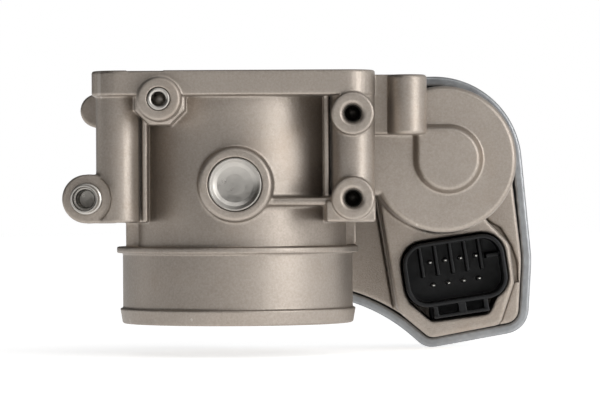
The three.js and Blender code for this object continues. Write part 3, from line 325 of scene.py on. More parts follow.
class Field:
    """Grid of distances that solids are added to and cut from with filleted joins."""

    def __init__(self, low, high, cell):
        self.low, self.cell = np.array(low, float), cell
        count = np.ceil((np.array(high) - self.low) / cell).astype(int) + 1
        self.axes = [(self.low[i] + cell * np.arange(count[i])).astype(np.float32) for i in range(3)]
        self.grid = np.full(count, 9.0, np.float32)

    def part(self, solid, margin):
        cuts = []
        for i in range(3):
            first = int((solid.low[i] - margin - self.low[i]) / self.cell)
            last = int((solid.high[i] + margin - self.low[i]) / self.cell) + 2
            cuts.append(slice(max(first, 0), max(last, 0)))
        x, y, z = (self.axes[i][cuts[i]] for i in range(3))
        return tuple(cuts), (x[:, None, None], y[None, :, None], z[None, None, :])

    def add(self, solid, fillet=0.0):
        cuts, spots = self.part(solid, max(fillet, 3 * self.cell) + 1.0)
        here, new = self.grid[cuts], solid.distance(*spots)
        if fillet:
            corner = np.hypot(np.maximum(fillet - here, 0), np.maximum(fillet - new, 0))
            new = np.maximum(fillet, np.minimum(here, new)) - corner
        self.grid[cuts] = np.minimum(here, new)

    def cut(self, solid, edge=0.0):
        cuts, spots = self.part(solid, max(edge, 3 * self.cell) + 1.0)
        here, new = self.grid[cuts], -solid.distance(*spots)
        if edge:
            corner = np.hypot(np.maximum(edge + here, 0), np.maximum(edge + new, 0))
            new = np.minimum(-edge, np.maximum(here, new)) + corner
        self.grid[cuts] = np.maximum(here, new)

    def mesh(self, name):
        """The zero surface as a smooth-shaded object in the row frame."""
        band = 3 * self.cell
        volume = openvdb.FloatGrid(band)
        volume.copyFromArray(np.clip(self.grid, -band, band))
        points, triangles, quads = volume.convertToPolygons(isovalue=0.0, adaptivity=0.0)
        points = points.astype(float) * self.cell + self.low
        points = points / 1000 + np.array(SHAFT)
        data = bpy.data.meshes.new(name)
        loops = np.concatenate([quads[:, ::-1].ravel(), triangles[:, ::-1].ravel()])
        sizes = np.concatenate([np.full(len(quads), 4), np.full(len(triangles), 3)])
        starts = np.concatenate([[0], np.cumsum(sizes)[:-1]])
        data.vertices.add(len(points))
        data.vertices.foreach_set("co", points.astype(np.float32).ravel())
        data.loops.add(len(loops))
        data.loops.foreach_set("vertex_index", loops.astype(np.int32))
        data.polygons.add(len(sizes))
        data.polygons.foreach_set("loop_start", starts.astype(np.int32))
        data.polygons.foreach_set("use_smooth", np.ones(len(sizes), bool))
        data.update(calc_edges=True)
        data.validate()
        made = bpy.data.objects.new(name, data)
        bpy.context.scene.collection.objects.link(made)
        return made


# ---------------------------------------------------------------- turned pieces


def eased(profile, radius):
    """Profile (r, y) with the corners off the axis rounded."""
    corners = []
    for i, (r, y) in enumerate(profile):
        back, on = profile[i - 1], profile[(i + 1) % len(profile)]
        reach = 0.42 * min(math.dist((r, y), back), math.dist((r, y), on))
        corners.append((r, y, 0.0 if r == 0 else min(radius, reach)))
    return rounded_polygon(corners)


def threads(radius, low, high, pitch=1.0, depth=0.32):
    """Zigzag along y from low to high, crests at radius."""
    step = pitch if high > low else -pitch
    count = int(abs(high - low) / pitch)
    points = []
    for i in range(count):
        points += [(radius, low + step * i), (radius + depth, low + step * (i + 0.5))]
    return points


def lathe(name, profile, centre, segments=96):
    """Closed profile (r, y) turned about the line along Y through centre (x, z)."""
    kept = [p for p, q in zip(profile, profile[-1:] + profile[:-1]) if math.dist(p, q) > 1e-4]
    points, rings = [], []
    for r, y in kept:
        if r < 1e-6:
            rings.append([len(points)] * segments)
            points.append(to_row(centre[0], y, centre[1]))
            continue
        rings.append(list(range(len(points), len(points) + segments)))
        for i in range(segments):
            t = 2 * math.pi * i / segments
            points.append(to_row(centre[0] + r * math.cos(t), y, centre[1] + r * math.sin(t)))
    faces = []
    for a, b in zip(rings, rings[1:] + rings[:1]):
        for i in range(segments):
            j = (i + 1) % segments
            face = list(dict.fromkeys((a[i], a[j], b[j], b[i])))
            if len(face) > 2:
                faces.append(face)
    data = bpy.data.meshes.new(name)
    data.from_pydata(points, [], faces)
    work = bmesh.new()
    work.from_mesh(data)
    bmesh.ops.recalc_face_normals(work, faces=work.faces)
    work.to_mesh(data)
    work.free()
    data.shade_smooth()
    made = bpy.data.objects.new(name, data)
    bpy.context.scene.collection.objects.link(made)
    return made


def threaded_tube(name, spot, front, depth, radius):
    """Threaded wall of a blind hole, let into the casting round it."""
    outer = radius + 0.9
    profile = [(outer, front), (radius + 0.35, front)]
    profile += threads(radius, front + 0.3, front + depth - 1.2)
    profile += [(radius, front + depth - 0.8), (0, front + depth + 0.9), (0, front + depth + 2.4)]
    profile += [(outer, front + depth + 0.6)]
    return lathe(name, profile, spot, 64)


def joined(name, pieces):
    """The pieces as one object."""
    with bpy.context.temp_override(
        active_object=pieces[0], selected_objects=pieces, selected_editable_objects=pieces
    ):
        bpy.ops.object.join()
    pieces[0].name = name
    return pieces[0]


# ---------------------------------------------------------------- housing


def build_housing(cell):
    field = Field((-60, -52, -57), (101, 53, 40), cell)
    # Gear case plate with a groove round the tower, and room in front for the hose.
    field.add(prism(belt(PLATE_CIRCLES, CASE_INSET), CASE_FRONT, CASE_JOINT, 0.9))
    tower = rounded_polygon(TOWER)
    field.cut(prism(tower, CASE_FRONT - 1, CASE_FRONT + 3.2, 0.2, grow=1.15), 0.2)
    field.cut(prism(CHANNEL, CASE_FRONT - 1, CASE_FRONT + 3.5, 0.2), 0.3)
    field.add(prism(tower, TOWER_FRONT, CASE_FRONT + 3, 1.1))
    field.cut(rod("z", (0, 0), HOSE_ROOM_R, SPIGOT_END - 2, RING_LOW, 0.2), 0.2)
    # Barrel and hose spigot.
    field.add(rod("z", (0, 0), BARREL_R, -46, FLANGE_TOP - 0.5, 0.0))
    field.add(rod("z", (0, 0), SPIGOT_R, SPIGOT_END, RING_HIGH - 0.3, 0.5))
    field.add(cone("z", (0, 0), SPIGOT_END, BEAD_R - 0.9, SPIGOT_END + 5.2, BEAD_R, 0.4), 0.2)
    field.add(rod("z", (0, 0), RING_R, RING_LOW, RING_HIGH, 0.35), 0.25)
    # Pillars, the webs that tie them to the barrel, and the front fins.
    top = FLANGE_UNDER + 2
    for sx in (-1, 1):
        for sy in (-1, 1):
            field.add(rod("z", (sx * BOLT_X, sy * BOLT_Y), PILLAR_R, PILLAR_FOOT, top, 0.5), 0.5)
            xs = sorted((sx * (FIN_X + 0.4), sx * BOLT_X))
            ys = sorted((sy * WEB_NEAR, sy * WEB_FAR))
            field.add(block((xs[0], ys[0], PILLAR_FOOT), (xs[1], ys[1], top), 0.4), 0.3)
        fin = sx * FIN_X
        field.add(block((fin - FIN_HALF, -34, PILLAR_FOOT + 0.1), (fin + FIN_HALF, -18, top), 0.5))
    # Manifold flange.
    middle = ((FLANGE_LEFT + FLANGE_RIGHT) / 2, 0)
    flange = rounded_rectangle(FLANGE_RIGHT - FLANGE_LEFT, 2 * FLANGE_HALF, 9.5, middle)
    field.add(prism(flange, FLANGE_UNDER, FLANGE_TOP, 0.8, "z"), 0.4)
    # Low ribs under the pillars.
    for low, high in (((-37.7, -17), (-33.4, -11)), ((33.5, 6), (41, 14))):
        field.add(block((*low, RING_HIGH - 1), (*high, PILLAR_FOOT + 2), 0.4), 0.5)
    # Plug boss and the rib that runs from it to the lower side boss.
    field.add(rod("y", (0, 0), PLUG_BOSS_R, PLUG_BOSS_FRONT, -30, 1.5), 1.0)
    field.add(block((8, -38, -7.1), (33, -20, -4.4), 0.9), 1.4)
    # Side bosses and the square foot under the lower one.
    field.add(block((30.3, -42, PILLAR_FOOT), (46.7, -30, -5.5), 0.6), 0.6)
    for spot in SIDE_BOSSES:
        field.add(rod("y", spot, SIDE_BOSS_R, SIDE_BOSS_FRONT, -32, 0.6), 0.6)
    # Upper left boss on its eight-sided pad.
    corners = [math.radians(22.5 + 45 * i) for i in range(8)]
    pad = [(INSERT.x + UPPER_PAD_R * math.cos(t), INSERT.z + UPPER_PAD_R * math.sin(t)) for t in corners]
    field.add(prism(pad, UPPER_PAD_FRONT, -27, 0.7), 0.7)
    field.add(rod("y", INSERT.xz, UPPER_BOSS_R, UPPER_BOSS_FRONT, -30, 1.2), 0.5)
    # Left lug and the round boss behind it.
    lx, lz = SLEEVE.xz
    field.add(rod("y", (lx, lz), LUG_R, LUG_FRONT, LUG_REAR, 0.8), 0.6)
    field.add(block((lx, LUG_FRONT, lz - LUG_R), (-40, LUG_REAR, lz + LUG_R), 0.8), 0.4)
    field.add(rod("y", REAR_BOSS, REAR_BOSS_R, 10, 34, 0.8), 1.0)
    field.add(block((REAR_BOSS[0], 20, 20.5), (-40, 33, 31), 0.6), 1.5)
    # Motor dome with its raised disc, and the shoulder to its left.
    field.add(rod("y", DOME, DOME_R, DOME_FRONT, CASE_FRONT + 2, 1.7), 1.2)
    field.add(prism(SHOULDER, DOME_FRONT, CASE_FRONT + 2, 1.7))
    disc = disc_outline(DOME_DISC_R)
    field.add(prism(disc, DOME_FRONT - DOME_DISC_RISE, DOME_FRONT, 0.7, taper=0.55), 0.5)
    # Upright post on the right and its webs.
    field.add(rod("z", POST, POST_R, POST_LOW, POST_HIGH, 1.1), 0.5)
    field.add(block((44, -24.0, POST_LOW + 0.2), (54, -14, POST_HIGH + 0.2), 0.5), 0.2)
    field.add(block((54, -24, POST_LOW + 0.8), (62, 6, 30.9), 0.8), 1.6)
    # Bosses behind the plate.
    field.add(rod("y", (0, 0), 17.0, 26, CASE_JOINT - 2, 0.5), 2.0)
    field.add(rod("y", (0, 0), 12.5, 30, CASE_JOINT + 5, 0.5), 1.5)
    field.add(rod("y", IDLER.xz, 6.0, CASE_JOINT - 5, CASE_JOINT + 5.2, 0.4), 1.0)
    cut_housing(field)
    casting = field.mesh("housing_casting")
    dress(casting, "cast_aluminium")
    # The thread tubes carry the dark tapped-hole material, which paints the shade deep in the holes.
    tubes = [threaded_tube(f"tube_{i}", spot, -42.4, 6.0, 2.5) for i, spot in enumerate(SIDE_BOSSES)]
    for tube in tubes:
        tube.data.materials.append(TAPPED_SHADE)
    return joined("housing_casting", [casting] + tubes)


def cut_housing(field):
    """Machined bores, faces and holes."""
    field.cut(rod("z", (0, 0), BORE_R, SPIGOT_END - 3, FLANGE_TOP + 3, 0.0), 0.5)
    field.cut(cone("z", (0, 0), SPIGOT_END - 1, 37.4, SPIGOT_END + 14, BORE_R, 0.0), 0.3)
    for sx in (-1, 1):
        for sy in (-1, 1):
            spot = (sx * BOLT_X, sy * BOLT_Y)
            field.cut(rod("z", spot, BOLT_HOLE_R, PILLAR_FOOT - 2, FLANGE_TOP + 2, 0.0), 0.35)
    field.cut(block((-35.8, -45, FLANGE_TOP - 0.45), (-24.1, -37, FLANGE_TOP + 3), 0.1), 0.15)
    for spot in SIDE_BOSSES:
        field.cut(rod("y", spot, TAPPED_R, -46, -35.8, 0.3))
        field.cut(cone("y", spot, -45.0, 4.9, -43.0, TAPPED_R), 0.15)
    field.cut(rod("y", INSERT.xz, INSERT_SEAT_R, -53, -37.4, 0.0), 0.3)
    field.cut(rod("y", SLEEVE.xz, SLEEVE_SEAT_R, LUG_FRONT - 3, LUG_REAR - 3, 0.0), 0.3)
    field.cut(rod("y", SLEEVE.xz, LUG_COUNTERBORE_R, LUG_FRONT - 12, LUG_FRONT, 0.2), 0.2)
    # Front and rear shaft bearings.
    field.cut(rod("y", (0, 0), PLUG_SEAT_R, -50, -44.9, 0.2), 0.4)
    field.cut(rod("y", (0, 0), BEARING_SEAT_R, -46, -37.2, 0.2))
    field.cut(rod("y", (0, 0), SHAFT_HOLE_R, -39, -30, 0.0), 0.2)
    field.cut(rod("y", (0, 0), SHAFT_HOLE_R, 30, 43, 0.0), 0.2)
    field.cut(rod("y", (0, 0), BEARING_SEAT_R, 41.7, 46, 0.2))
    field.cut(rod("y", (0, 0), REAR_SEAT_R, 44.2, 54, 0.2), 0.2)
    field.cut(rod("y", IDLER.xz, IDLER_PIN_R, CASE_JOINT - 5.3, CASE_JOINT + 8, 0.2), 0.2)
    # Motor cavity and screw holes in the joint face.
    field.cut(rod("y", MOTOR.xz, MOTOR_CAVITY_R, -15, CASE_JOINT + 3, 0.5), 0.3)
    field.cut(rod("y", MOTOR.xz, MOTOR_NOSE_R, -18.2, -14, 0.3))
    for spot in SCREWS:
        field.cut(rod("y", spot.xz, SCREW_HOLE_R, CASE_JOINT - 5.0, CASE_JOINT + 2, 0.2), 0.25)
    for spot in EARS:
        field.cut(rod("y", spot.xz, EAR_HOLE_R, CASE_JOINT - 4.2, CASE_JOINT + 2, 0.2), 0.2)
    # Window for the connector and the neck hole behind it.
    field.cut(prism(rounded_polygon(WINDOW), 15, CASE_FRONT, 0.3), 0.5)
    field.cut(turned(rounded_rectangle(37.0, 23.9, 8.2), 15, CASE_FRONT, 0.3), 0.5)
    field.cut(turned(rounded_rectangle(30.6, 17.6, 5.3), CASE_FRONT - 2, CASE_JOINT + 2, 0.0), 0.3)
    # Narrow flat down the left of the post.
    field.cut(block((51.0, -32, POST_LOW - 1), (51.7, -27.0, POST_HIGH + 2), 0.2), 0.15)


def turned(points, low, high, edge):
    """Prism of an outline given about the connector's centre and tilted with it."""
    c, s = math.cos(CONNECTOR_TURN), math.sin(CONNECTOR_TURN)
    placed = [(CONNECTOR[0] + u * c - w * s, CONNECTOR[1] + u * s + w * c) for u, w in points]
    return prism(placed, low, high, edge)


# ---------------------------------------------------------------- cover and connector


def build_cover(cell):
    field = Field((-24, 42, -60), (106, 74, 41), cell)
    outline = belt(CASE_CIRCLES)
    field.add(prism(outline, COVER_LIP, COVER_BACK - 8.0, 0.55))
    field.add(prism(outline, COVER_LIP + 6.0, COVER_BACK - 1.0, 1.9))
    # Raised fields over the motor and the sector, a rib grid between, and screw bosses.
    field.add(rod("y", MOTOR.xz, 21.0, COVER_BACK - 4, COVER_BACK, 1.2), 1.0)
    field.add(rod("y", (0, 0), 15.0, COVER_BACK - 4, COVER_BACK, 1.2), 1.0)
    field.add(rod("y", IDLER.xz, 7.0, COVER_BACK - 4, COVER_BACK, 1.0), 0.8)
    for z in (-18.0, -6.0, 6.0, 18.0):
        field.add(block((8, COVER_BACK - 4, z - 0.8), (60, COVER_BACK - 0.2, z + 0.8), 0.5), 0.6)
    for x in (62.0, 74.0, 86.0):
        field.add(block((x - 0.8, COVER_BACK - 4, -48), (x + 0.8, COVER_BACK - 0.2, -14), 0.5), 0.6)
    for spot in SCREWS:
        field.add(rod("y", spot.xz, 5.6, COVER_BACK - 6, COVER_BACK, 0.8), 0.8)
    # Skirt round the plate and the hollow for the gears.
    field.cut(prism(belt(CASE_CIRCLES, COVER_SKIRT), COVER_LIP - 3, COVER_SHOULDER, 0.3), 0.3)
    field.cut(prism(belt(CASE_CIRCLES, COVER_WALL), COVER_SHOULDER - 2, COVER_FLOOR, 1.0), 0.4)
    for spot in SCREWS:
        field.add(rod("y", spot.xz, 5.5, COVER_SHOULDER, COVER_BACK - 1, 0.3), 0.6)
    field.add(rod("y", IDLER.xz, 5.0, COVER_FLOOR - 2.6, COVER_FLOOR + 1, 0.4), 0.5)
    field.cut(rod("y", IDLER.xz, IDLER_PIN_R, COVER_FLOOR - 4, COVER_FLOOR, 0.2), 0.2)
    for spot in SCREWS:
        field.cut(rod("y", spot.xz, SCREW_HOLE_R, COVER_SHOULDER - 2, COVER_BACK, 0.0), 0.2)
        field.cut(rod("y", spot.xz, SCREW_HEAD_R, COVER_BACK - 3.2, COVER_BACK + 2, 0.2), 0.3)
    return field.mesh("cover_casting")


def build_connector(cell):
    width, height, radius = SHROUD
    low, high = -height / 2, height / 2
    field = Field((52, SHROUD_FRONT - 2, -52), (98, CASE_JOINT + 3, -9), cell)
    rear = CASE_FRONT - 2.0
    # Shroud with a thicker lip, flange, and neck through the plate.
    wall = rounded_rectangle(width - 0.8, height - 0.8, radius - 0.4)
    lip = rounded_rectangle(width, height, radius)
    flange = rounded_rectangle(width + 0.6, height + 0.6, radius)
    field.add(turned(wall, SHROUD_FRONT, rear, 0.2))
    field.add(turned(lip, SHROUD_FRONT, SHROUD_FRONT + 3.2, 0.3), 0.2)
    field.add(turned(flange, rear - 6, rear, 0.3), 0.3)
    field.add(turned(rounded_rectangle(30.0, 17.0, 5.0), SHROUD_FLOOR + 2, CASE_JOINT + 1.4, 0.3))
    field.add(turned(rectangle(-10.5, 10.5, low - 5.2, low + 1.0), rear - 3.0, rear, 0.3), 0.3)
    # Latch bridge on three ribs under the shroud.
    for u, half in ((-8.7, 0.8), (0.6, 1.4), (8.9, 0.8)):
        rib = rectangle(u - half, u + half, low - 4.2, low + 0.6)
        field.add(turned(rib, SHROUD_FRONT + 1, 26, 0.3), 0.3)
    bridge = rectangle(-9.6, 9.7, low - 4.3, low - 3.1)
    field.add(turned(bridge, SHROUD_FRONT + 1, SHROUD_FRONT + 6, 0.3), 0.3)
    inside = rounded_rectangle(width - 2.8, height - 2.8, radius - 1.4)
    field.cut(turned(inside, SHROUD_FRONT - 3, SHROUD_FLOOR, 0.2), 0.35)
    # Walls between the upper terminals, a coding rib, and the slots of the terminals.
    for u in (-11.0, -5.7, -0.4, 4.8, 9.9):
        divider = rectangle(u - 0.6, u + 0.6, -1.0, high - 1.0)
        field.add(turned(divider, SHROUD_FLOOR - 7, SHROUD_FLOOR + 1, 0.3), 0.3)
    field.add(turned(rectangle(11.6, 16.2, 2.6, 4.2), SHROUD_FRONT + 5, SHROUD_FLOOR + 1, 0.3), 0.3)
    for u, w in TERMINALS:
        slot = rectangle(u - 0.7, u + 0.7, w - 0.5, w + 0.5)
        field.cut(turned(slot, SHROUD_FLOOR - 3, CASE_JOINT + 4, 0.0))
    return field.mesh("connector_moulding")


def rectangle(u0, u1, w0, w1):
    return [(u0, w0), (u1, w0), (u1, w1), (u0, w1)]


# ---------------------------------------------------------------- small turned parts


def build_plug():
    """Pressed cup that closes the front bearing."""
    profile = [
        (0, -45.35), (3.5, -45.35), (6.0, -45.6), (7.3, -46.05), (8.05, -46.7), (8.3, -46.9),
        (8.6, -46.9), (8.85, -46.7), (8.85, -45.1), (0, -45.1),
    ]
    return lathe("plug_cup", eased(profile, 0.5), (0, 0), 128)


def build_insert():
    """Threaded steel insert of the upper left boss."""
    front = -50.3
    profile = [(3.7, front + 12.3), (3.7, front + 0.2), (3.5, front), (2.9, front), (2.55, front + 0.35)]
    profile += threads(2.3, front + 0.5, front + 10.3, 0.8, 0.28)
    profile += [(2.3, front + 10.6), (0, front + 11.2), (0, front + 12.3)]
    return lathe("threaded_insert", profile, INSERT.xz, 80)


def build_sleeve():
    """Steel sleeve that stands out of the left lug."""
    front, base = SLEEVE_FRONT, LUG_FRONT
    profile = [
        (3.85, front + 0.5), (4.05, front), (4.5, front), (4.6, front + 0.2), (4.6, front + 3.0),
        (4.45, front + 3.2), (4.45, front + 3.9), (4.6, front + 4.1), (4.6, base - 1.9),
        (5.2, base - 1.6), (5.2, base - 0.3), (4.6, base - 0.3), (4.6, LUG_REAR - 3.4),
        (0, LUG_REAR - 3.4), (0, LUG_REAR - 4.8), (3.0, LUG_REAR - 4.8), (3.0, front + 7.4),
        (3.3, front + 7.0), (3.85, front + 7.0),
    ]
    return lathe("standing_sleeve", eased(profile, 0.15), SLEEVE.xz, 96)


# ---------------------------------------------------------------- materials


RAMP_SOCKETS = ("From Min", "From Max", "To Min", "To Max")


class Nodes:
    """Short way to make a material, add shader nodes and join them."""

    def __init__(self, name):
        self.material = bpy.data.materials.new(name)
        self.material.use_nodes = True
        self.nodes = self.material.node_tree.nodes
        self.links = self.material.node_tree.links
        self.nodes.clear()
        out = self.nodes.new("ShaderNodeOutputMaterial")
        self.shader = self.nodes.new("ShaderNodeBsdfPrincipled")
        self.links.new(self.shader.outputs[0], out.inputs[0])
        self.spot = self.nodes.new("ShaderNodeTexCoord").outputs["Object"]

    def feed(self, socket, value):
        if isinstance(value, bpy.types.NodeSocket):
            self.links.new(value, socket)
        else:
            socket.default_value = value

    def noise(self, scale, detail=3.0, roughness=0.55, stretch=None):
        where = self.spot
        if stretch:
            mapping = self.nodes.new("ShaderNodeMapping")
            mapping.inputs["Scale"].default_value = stretch
            self.links.new(where, mapping.inputs["Vector"])
            where = mapping.outputs[0]
        node = self.nodes.new("ShaderNodeTexNoise")
        node.inputs["Scale"].default_value = scale
        node.inputs["Detail"].default_value = detail
        node.inputs["Roughness"].default_value = roughness
        self.links.new(where, node.inputs["Vector"])
        return node.outputs["Fac"]

    def ramp(self, value, low, high, to_low=0.0, to_high=1.0):
        node = self.nodes.new("ShaderNodeMapRange")
        self.feed(node.inputs["Value"], value)
        for name, amount in zip(RAMP_SOCKETS, (low, high, to_low, to_high)):
            node.inputs[name].default_value = amount
        return node.outputs[0]

    def blend(self, amount, a, b):
        node = self.nodes.new("ShaderNodeMix")
        node.data_type = "RGBA"
        self.feed(node.inputs[0], amount)
        self.feed(node.inputs[6], a)
        self.feed(node.inputs[7], b)
        return node.outputs[2]

    def math(self, kind, a, b=0.0):
        node = self.nodes.new("ShaderNodeMath")
        node.operation = kind
        self.feed(node.inputs[0], a)
        self.feed(node.inputs[1], b)
        return node.outputs[0]

    def bump(self, height, strength, distance, normal=None):
        node = self.nodes.new("ShaderNodeBump")
        node.inputs["Strength"].default_value = strength
        node.inputs["Distance"].default_value = distance
        self.links.new(height, node.inputs["Height"])
        if normal is not None:
            self.links.new(normal, node.inputs["Normal"])
        return node.outputs[0]

    def wear(self, low=0.52, high=0.6):
        """1 on outer edges, 0 elsewhere."""
        node = self.nodes.new("ShaderNodeNewGeometry")
        return self.ramp(node.outputs["Pointiness"], low, high)

    def finish(self, color, roughness, metallic, normal=None):
        self.feed(self.shader.inputs["Base Color"], color)
        self.feed(self.shader.inputs["Roughness"], roughness)
        self.feed(self.shader.inputs["Metallic"], metallic)
        if normal is not None:
            self.links.new(normal, self.shader.inputs["Normal"])
        return self.material


def srgb(red, green, blue):
    """Colour given as 0-255 screen values, as the linear values a shader takes."""
    def linear(value):
        value /= 255
        return value / 12.92 if value <= 0.04045 else ((value + 0.055) / 1.055) ** 2.4

    return (linear(red), linear(green), linear(blue), 1.0)


def cast_aluminium():
    """Cast skin: smooth on the barrel, sandier on the plate and the tower to its right."""
    n = Nodes("cast_aluminium")
    split = n.nodes.new("ShaderNodeSeparateXYZ")
    n.links.new(n.spot, split.inputs[0])
    right = n.ramp(split.outputs[0], 0.012, 0.03)
    lower = n.ramp(split.outputs[2], 0.05, 0.042)
    sandy = n.math("MULTIPLY", right, lower)
    cloud = n.ramp(n.noise(60, 3.0, 0.6), 0.3, 0.72)
    color = n.blend(cloud, srgb(148, 139, 130), srgb(158, 149, 140))
    speck = n.ramp(n.noise(1300, 3.0, 0.7), 0.36, 0.66)
    color = n.blend(n.math("MULTIPLY", speck, 0.35), color, srgb(184, 175, 166))
    stain = n.ramp(n.noise(28, 4.0, 0.65), 0.56, 0.74)
    color = n.blend(n.math("MULTIPLY", stain, 0.3), color, srgb(146, 128, 110))
    color = n.blend(n.math("MULTIPLY", n.wear(0.53, 0.62), 0.4), color, srgb(204, 198, 191))
    rough = n.ramp(n.noise(1200, 3.0, 0.6), 0.3, 0.7, 0.38, 0.5)
    normal = n.bump(n.noise(3000, 2.0, 0.6), 0.4, 0.00008)
    sand = n.math("MULTIPLY", n.noise(2400, 2.0, 0.6), n.math("ADD", n.math("MULTIPLY", sandy, 1.0), 0.2))
    normal = n.bump(sand, 0.42, 0.00025, normal)
    return n.finish(color, rough, 0.9, normal)


def tapped_hole_painted_shade():
    """Thread of a tapped hole in very dark tones: painted shade for the depth of the hole, with a patchy oil film.
    """
    n = Nodes("tapped_hole_painted_shade")
    film = n.ramp(n.noise(1500, 3.0, 0.6), 0.3, 0.7)
    # Both tones are kept very dark to paint the shade inside the hole.
    color = n.blend(film, srgb(28, 26, 23), srgb(66, 62, 57))
    normal = n.bump(n.noise(2500, 2.0, 0.6), 0.3, 0.00006)
    return n.finish(color, n.ramp(film, 0.0, 1.0, 0.3, 0.45), 0.8, normal)


def cover_aluminium():
    n = Nodes("cover_aluminium")
    mottle = n.ramp(n.noise(240, 4.0, 0.6), 0.35, 0.7)
    color = n.blend(mottle, srgb(138, 140, 142), srgb(156, 158, 160))
    color = n.blend(n.math("MULTIPLY", n.wear(0.53, 0.6), 0.6), color, srgb(216, 217, 218))
    normal = n.bump(n.noise(2600, 2.0, 0.6), 0.3, 0.00008)
    rough = n.ramp(n.noise(900, 3.0, 0.6), 0.3, 0.7, 0.3, 0.44)
    return n.finish(color, rough, 0.92, normal)


def metal(name, color, roughness, metallic=1.0, stretch=None, worn=0.35):
    """Mottled metal, brighter on its outer edges by worn."""
    n = Nodes(name)
    scale = 900.0
    mottle = n.ramp(n.noise(scale / 6, 3.0, 0.6), 0.35, 0.7, 0.86, 1.0)
    shade = n.blend(mottle, (0.0, 0.0, 0.0, 1.0), color)
    bright = tuple(min(1.0, c * 1.5) for c in color[:3]) + (1.0,)
    shade = n.blend(n.math("MULTIPLY", n.wear(), worn), shade, bright)
    rough = n.ramp(n.noise(scale / 2, 3.0, 0.6), 0.3, 0.7, roughness - 0.07, roughness + 0.08)
    normal = n.bump(n.noise(scale, 2.0, 0.6, stretch), 0.3, 0.00005)
    return n.finish(shade, rough, metallic, normal)


def plastic(name, color, roughness, shine=0.5):
    """Mottled plastic or rubber with greyer edges."""
    n = Nodes(name)
    scale = 1500.0
    n.shader.inputs["Specular IOR Level"].default_value = shine
    mottle = n.ramp(n.noise(scale / 9, 3.0, 0.6), 0.3, 0.75, 0.75, 1.0)
    shade = n.blend(mottle, (0.0, 0.0, 0.0, 1.0), color)
    bright = tuple(c * 2.5 for c in color[:3]) + (1.0,)
    shade = n.blend(n.math("MULTIPLY", n.wear(), 0.4), shade, bright)
    rough = n.ramp(n.noise(scale / 3, 3.0, 0.6), 0.3, 0.7, roughness - 0.08, roughness + 0.1)
    normal = n.bump(n.noise(scale, 2.0, 0.6), 0.25, 0.00006)
    return n.finish(shade, rough, 0.0, normal)


MATERIALS = {
    "cast_aluminium": cast_aluminium(),
    "cover_aluminium": cover_aluminium(),
    "turned_steel": metal("turned_steel", srgb(184, 180, 174), 0.34, worn=0.0),
    "zinc_steel": metal("zinc_steel", srgb(170, 172, 172), 0.36),
    "spring_steel": metal("spring_steel", srgb(120, 122, 124), 0.35),
    "plate_aluminium": metal("plate_aluminium", srgb(190, 186, 174), 0.34, stretch=(1, 40, 1)),
    "brass": metal("brass", srgb(196, 168, 96), 0.3),
    "copper": metal("copper", srgb(190, 120, 84), 0.34),
    "terminal_tin": metal("terminal_tin", srgb(226, 222, 212), 0.3),
    "ferrite": metal("ferrite", srgb(62, 63, 66), 0.55, 0.4),
    "gear_polymer": plastic("gear_polymer", srgb(48, 49, 52), 0.5),
    "connector_polymer": plastic("connector_polymer", srgb(9, 10, 12), 0.38, shine=0.28),
    "carbon": plastic("carbon", srgb(44, 44, 45), 0.7),
    "seal_rubber": plastic("seal_rubber", srgb(20, 20, 20), 0.75),
    "board_laminate": plastic("board_laminate", srgb(46, 92, 60), 0.45),
}

# Dark thread material for the tapped holes: painted shade with an oil film.
TAPPED_SHADE = tapped_hole_painted_shade()
SLOTS = {part["node"]: part["material_slot"] for part in frame["record"]["subparts"]}
BODY_OF = {node: body for body, nodes in frame["record"]["behaviour"]["bodies"].items() for node in nodes}


def dress(piece, slot):
    piece.data.materials.clear()
    piece.data.materials.append(MATERIALS[slot])


def stand_for(piece, node):
    """piece is shown in place of a CAD node, on that node's body and finish."""
    if not piece.data.materials:
        dress(piece, SLOTS[node])
    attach(piece, BODY_OF[node])
    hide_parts(node)


# ---------------------------------------------------------------- camera and light


def set_up_camera():
    data = bpy.data.cameras.new("camera")
    camera = bpy.data.objects.new("camera", data)
    bpy.context.scene.collection.objects.link(camera)
    data.lens = 208.7
    data.sensor_width = 36.0
    data.clip_start, data.clip_end = 0.05, 20.0
    camera.location = to_row(21.56, -1200.0, -5.3)
    camera.rotation_euler = (math.radians(90), math.radians(0.3), 0)
    bpy.context.scene.camera = camera


def area_light(name, spot, aim, size, power, color=(1, 1, 1)):
    data = bpy.data.lights.new(name, "AREA")
    data.shape = "RECTANGLE"
    data.size, data.size_y = size
    data.energy = power
    data.color = color
    lamp = bpy.data.objects.new(name, data)
    bpy.context.scene.collection.objects.link(lamp)
    lamp.location = to_row(*spot)
    lamp.rotation_euler = (to_row(*aim) - lamp.location).to_track_quat("-Z", "Y").to_euler()


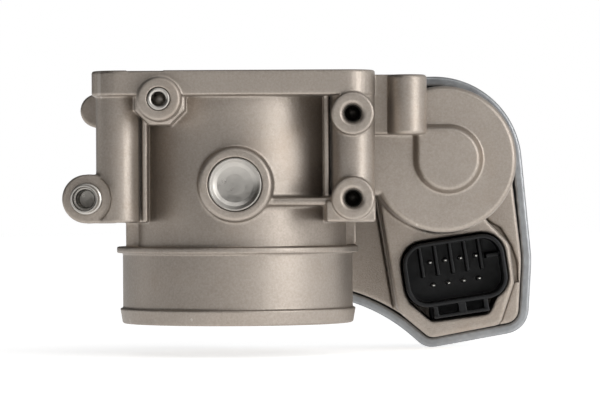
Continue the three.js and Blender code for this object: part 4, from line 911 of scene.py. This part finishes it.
def set_up_world():
    """White tent: darker on the left and behind the camera, brighter on the right."""
    scene = bpy.context.scene
    scene.view_settings.view_transform = "Standard"
    scene.world = bpy.data.worlds.new("tent")
    scene.world.use_nodes = True
    nodes, links = scene.world.node_tree.nodes, scene.world.node_tree.links
    background = nodes["Background"]
    background.inputs["Color"].default_value = (1, 1, 1, 1)
    spot = nodes.new("ShaderNodeTexCoord").outputs["Generated"]
    split = nodes.new("ShaderNodeSeparateXYZ")
    links.new(spot, split.inputs[0])
    shade = []
    for socket, amounts in ((0, (-0.62, 0.7, 0.02, 0.78)), (1, (-0.97, -0.6, 0.5, 1.0))):
        ramp = nodes.new("ShaderNodeMapRange")
        ramp.interpolation_type = "SMOOTHSTEP"
        links.new(split.outputs[socket], ramp.inputs["Value"])
        for name, amount in zip(RAMP_SOCKETS, amounts):
            ramp.inputs[name].default_value = amount
        shade.append(ramp.outputs[0])
    both = nodes.new("ShaderNodeMath")
    both.operation = "MULTIPLY"
    links.new(shade[0], both.inputs[0])
    links.new(shade[1], both.inputs[1])
    path = nodes.new("ShaderNodeLightPath")
    mix = nodes.new("ShaderNodeMix")
    links.new(path.outputs["Is Camera Ray"], mix.inputs[0])
    links.new(both.outputs[0], mix.inputs[2])
    mix.inputs[3].default_value = 1.0
    links.new(mix.outputs[0], background.inputs["Strength"])


def set_up_floor():
    bpy.ops.mesh.primitive_plane_add(size=8.0, location=(0, 0, CAD_LOW.z))
    floor = bpy.context.object
    floor.name = "floor"
    n = Nodes("floor")
    n.feed(n.shader.inputs["Emission Color"], (1, 1, 1, 1))
    n.feed(n.shader.inputs["Emission Strength"], 0.7)
    floor.data.materials.append(n.finish((0.9, 0.9, 0.9, 1), 0.6, 0.0))
    floor.visible_shadow = False


set_up_camera()
set_up_world()
set_up_floor()
area_light("key_right", (640, -560, 120), (40, 0, 0), (0.45, 0.6), 3.1)
area_light("front_high", (60, -700, 560), (30, 0, 10), (0.7, 0.3), 0.9)
area_light("front_low", (60, -480, -430), (10, -30, 5), (0.24, 0.2), 0.8, (1.0, 0.96, 0.9))
area_light("left_rim", (-520, 160, 180), (0, 0, 0), (0.25, 0.5), 0.15)

# ---------------------------------------------------------------- build

stand_for(build_housing(0.42), "throttle_housing")
stand_for(build_cover(0.5), "gear_cover")
stand_for(build_connector(0.24), "connector_body")
stand_for(build_plug(), "front_bearing_plug")
stand_for(build_insert(), "upper_boss_insert")
stand_for(build_sleeve(), "lug_sleeve")

REPLACED = {
    "throttle_housing", "gear_cover", "connector_body",
    "front_bearing_plug", "upper_boss_insert", "lug_sleeve",
}
for node, piece in frame["nodes"].items():
    if node not in REPLACED:
        dress(piece, SLOTS[node])
        bevel = piece.modifiers.new("edges", "BEVEL")
        bevel.width, bevel.segments, bevel.limit_method = 0.00015, 2, "ANGLE"
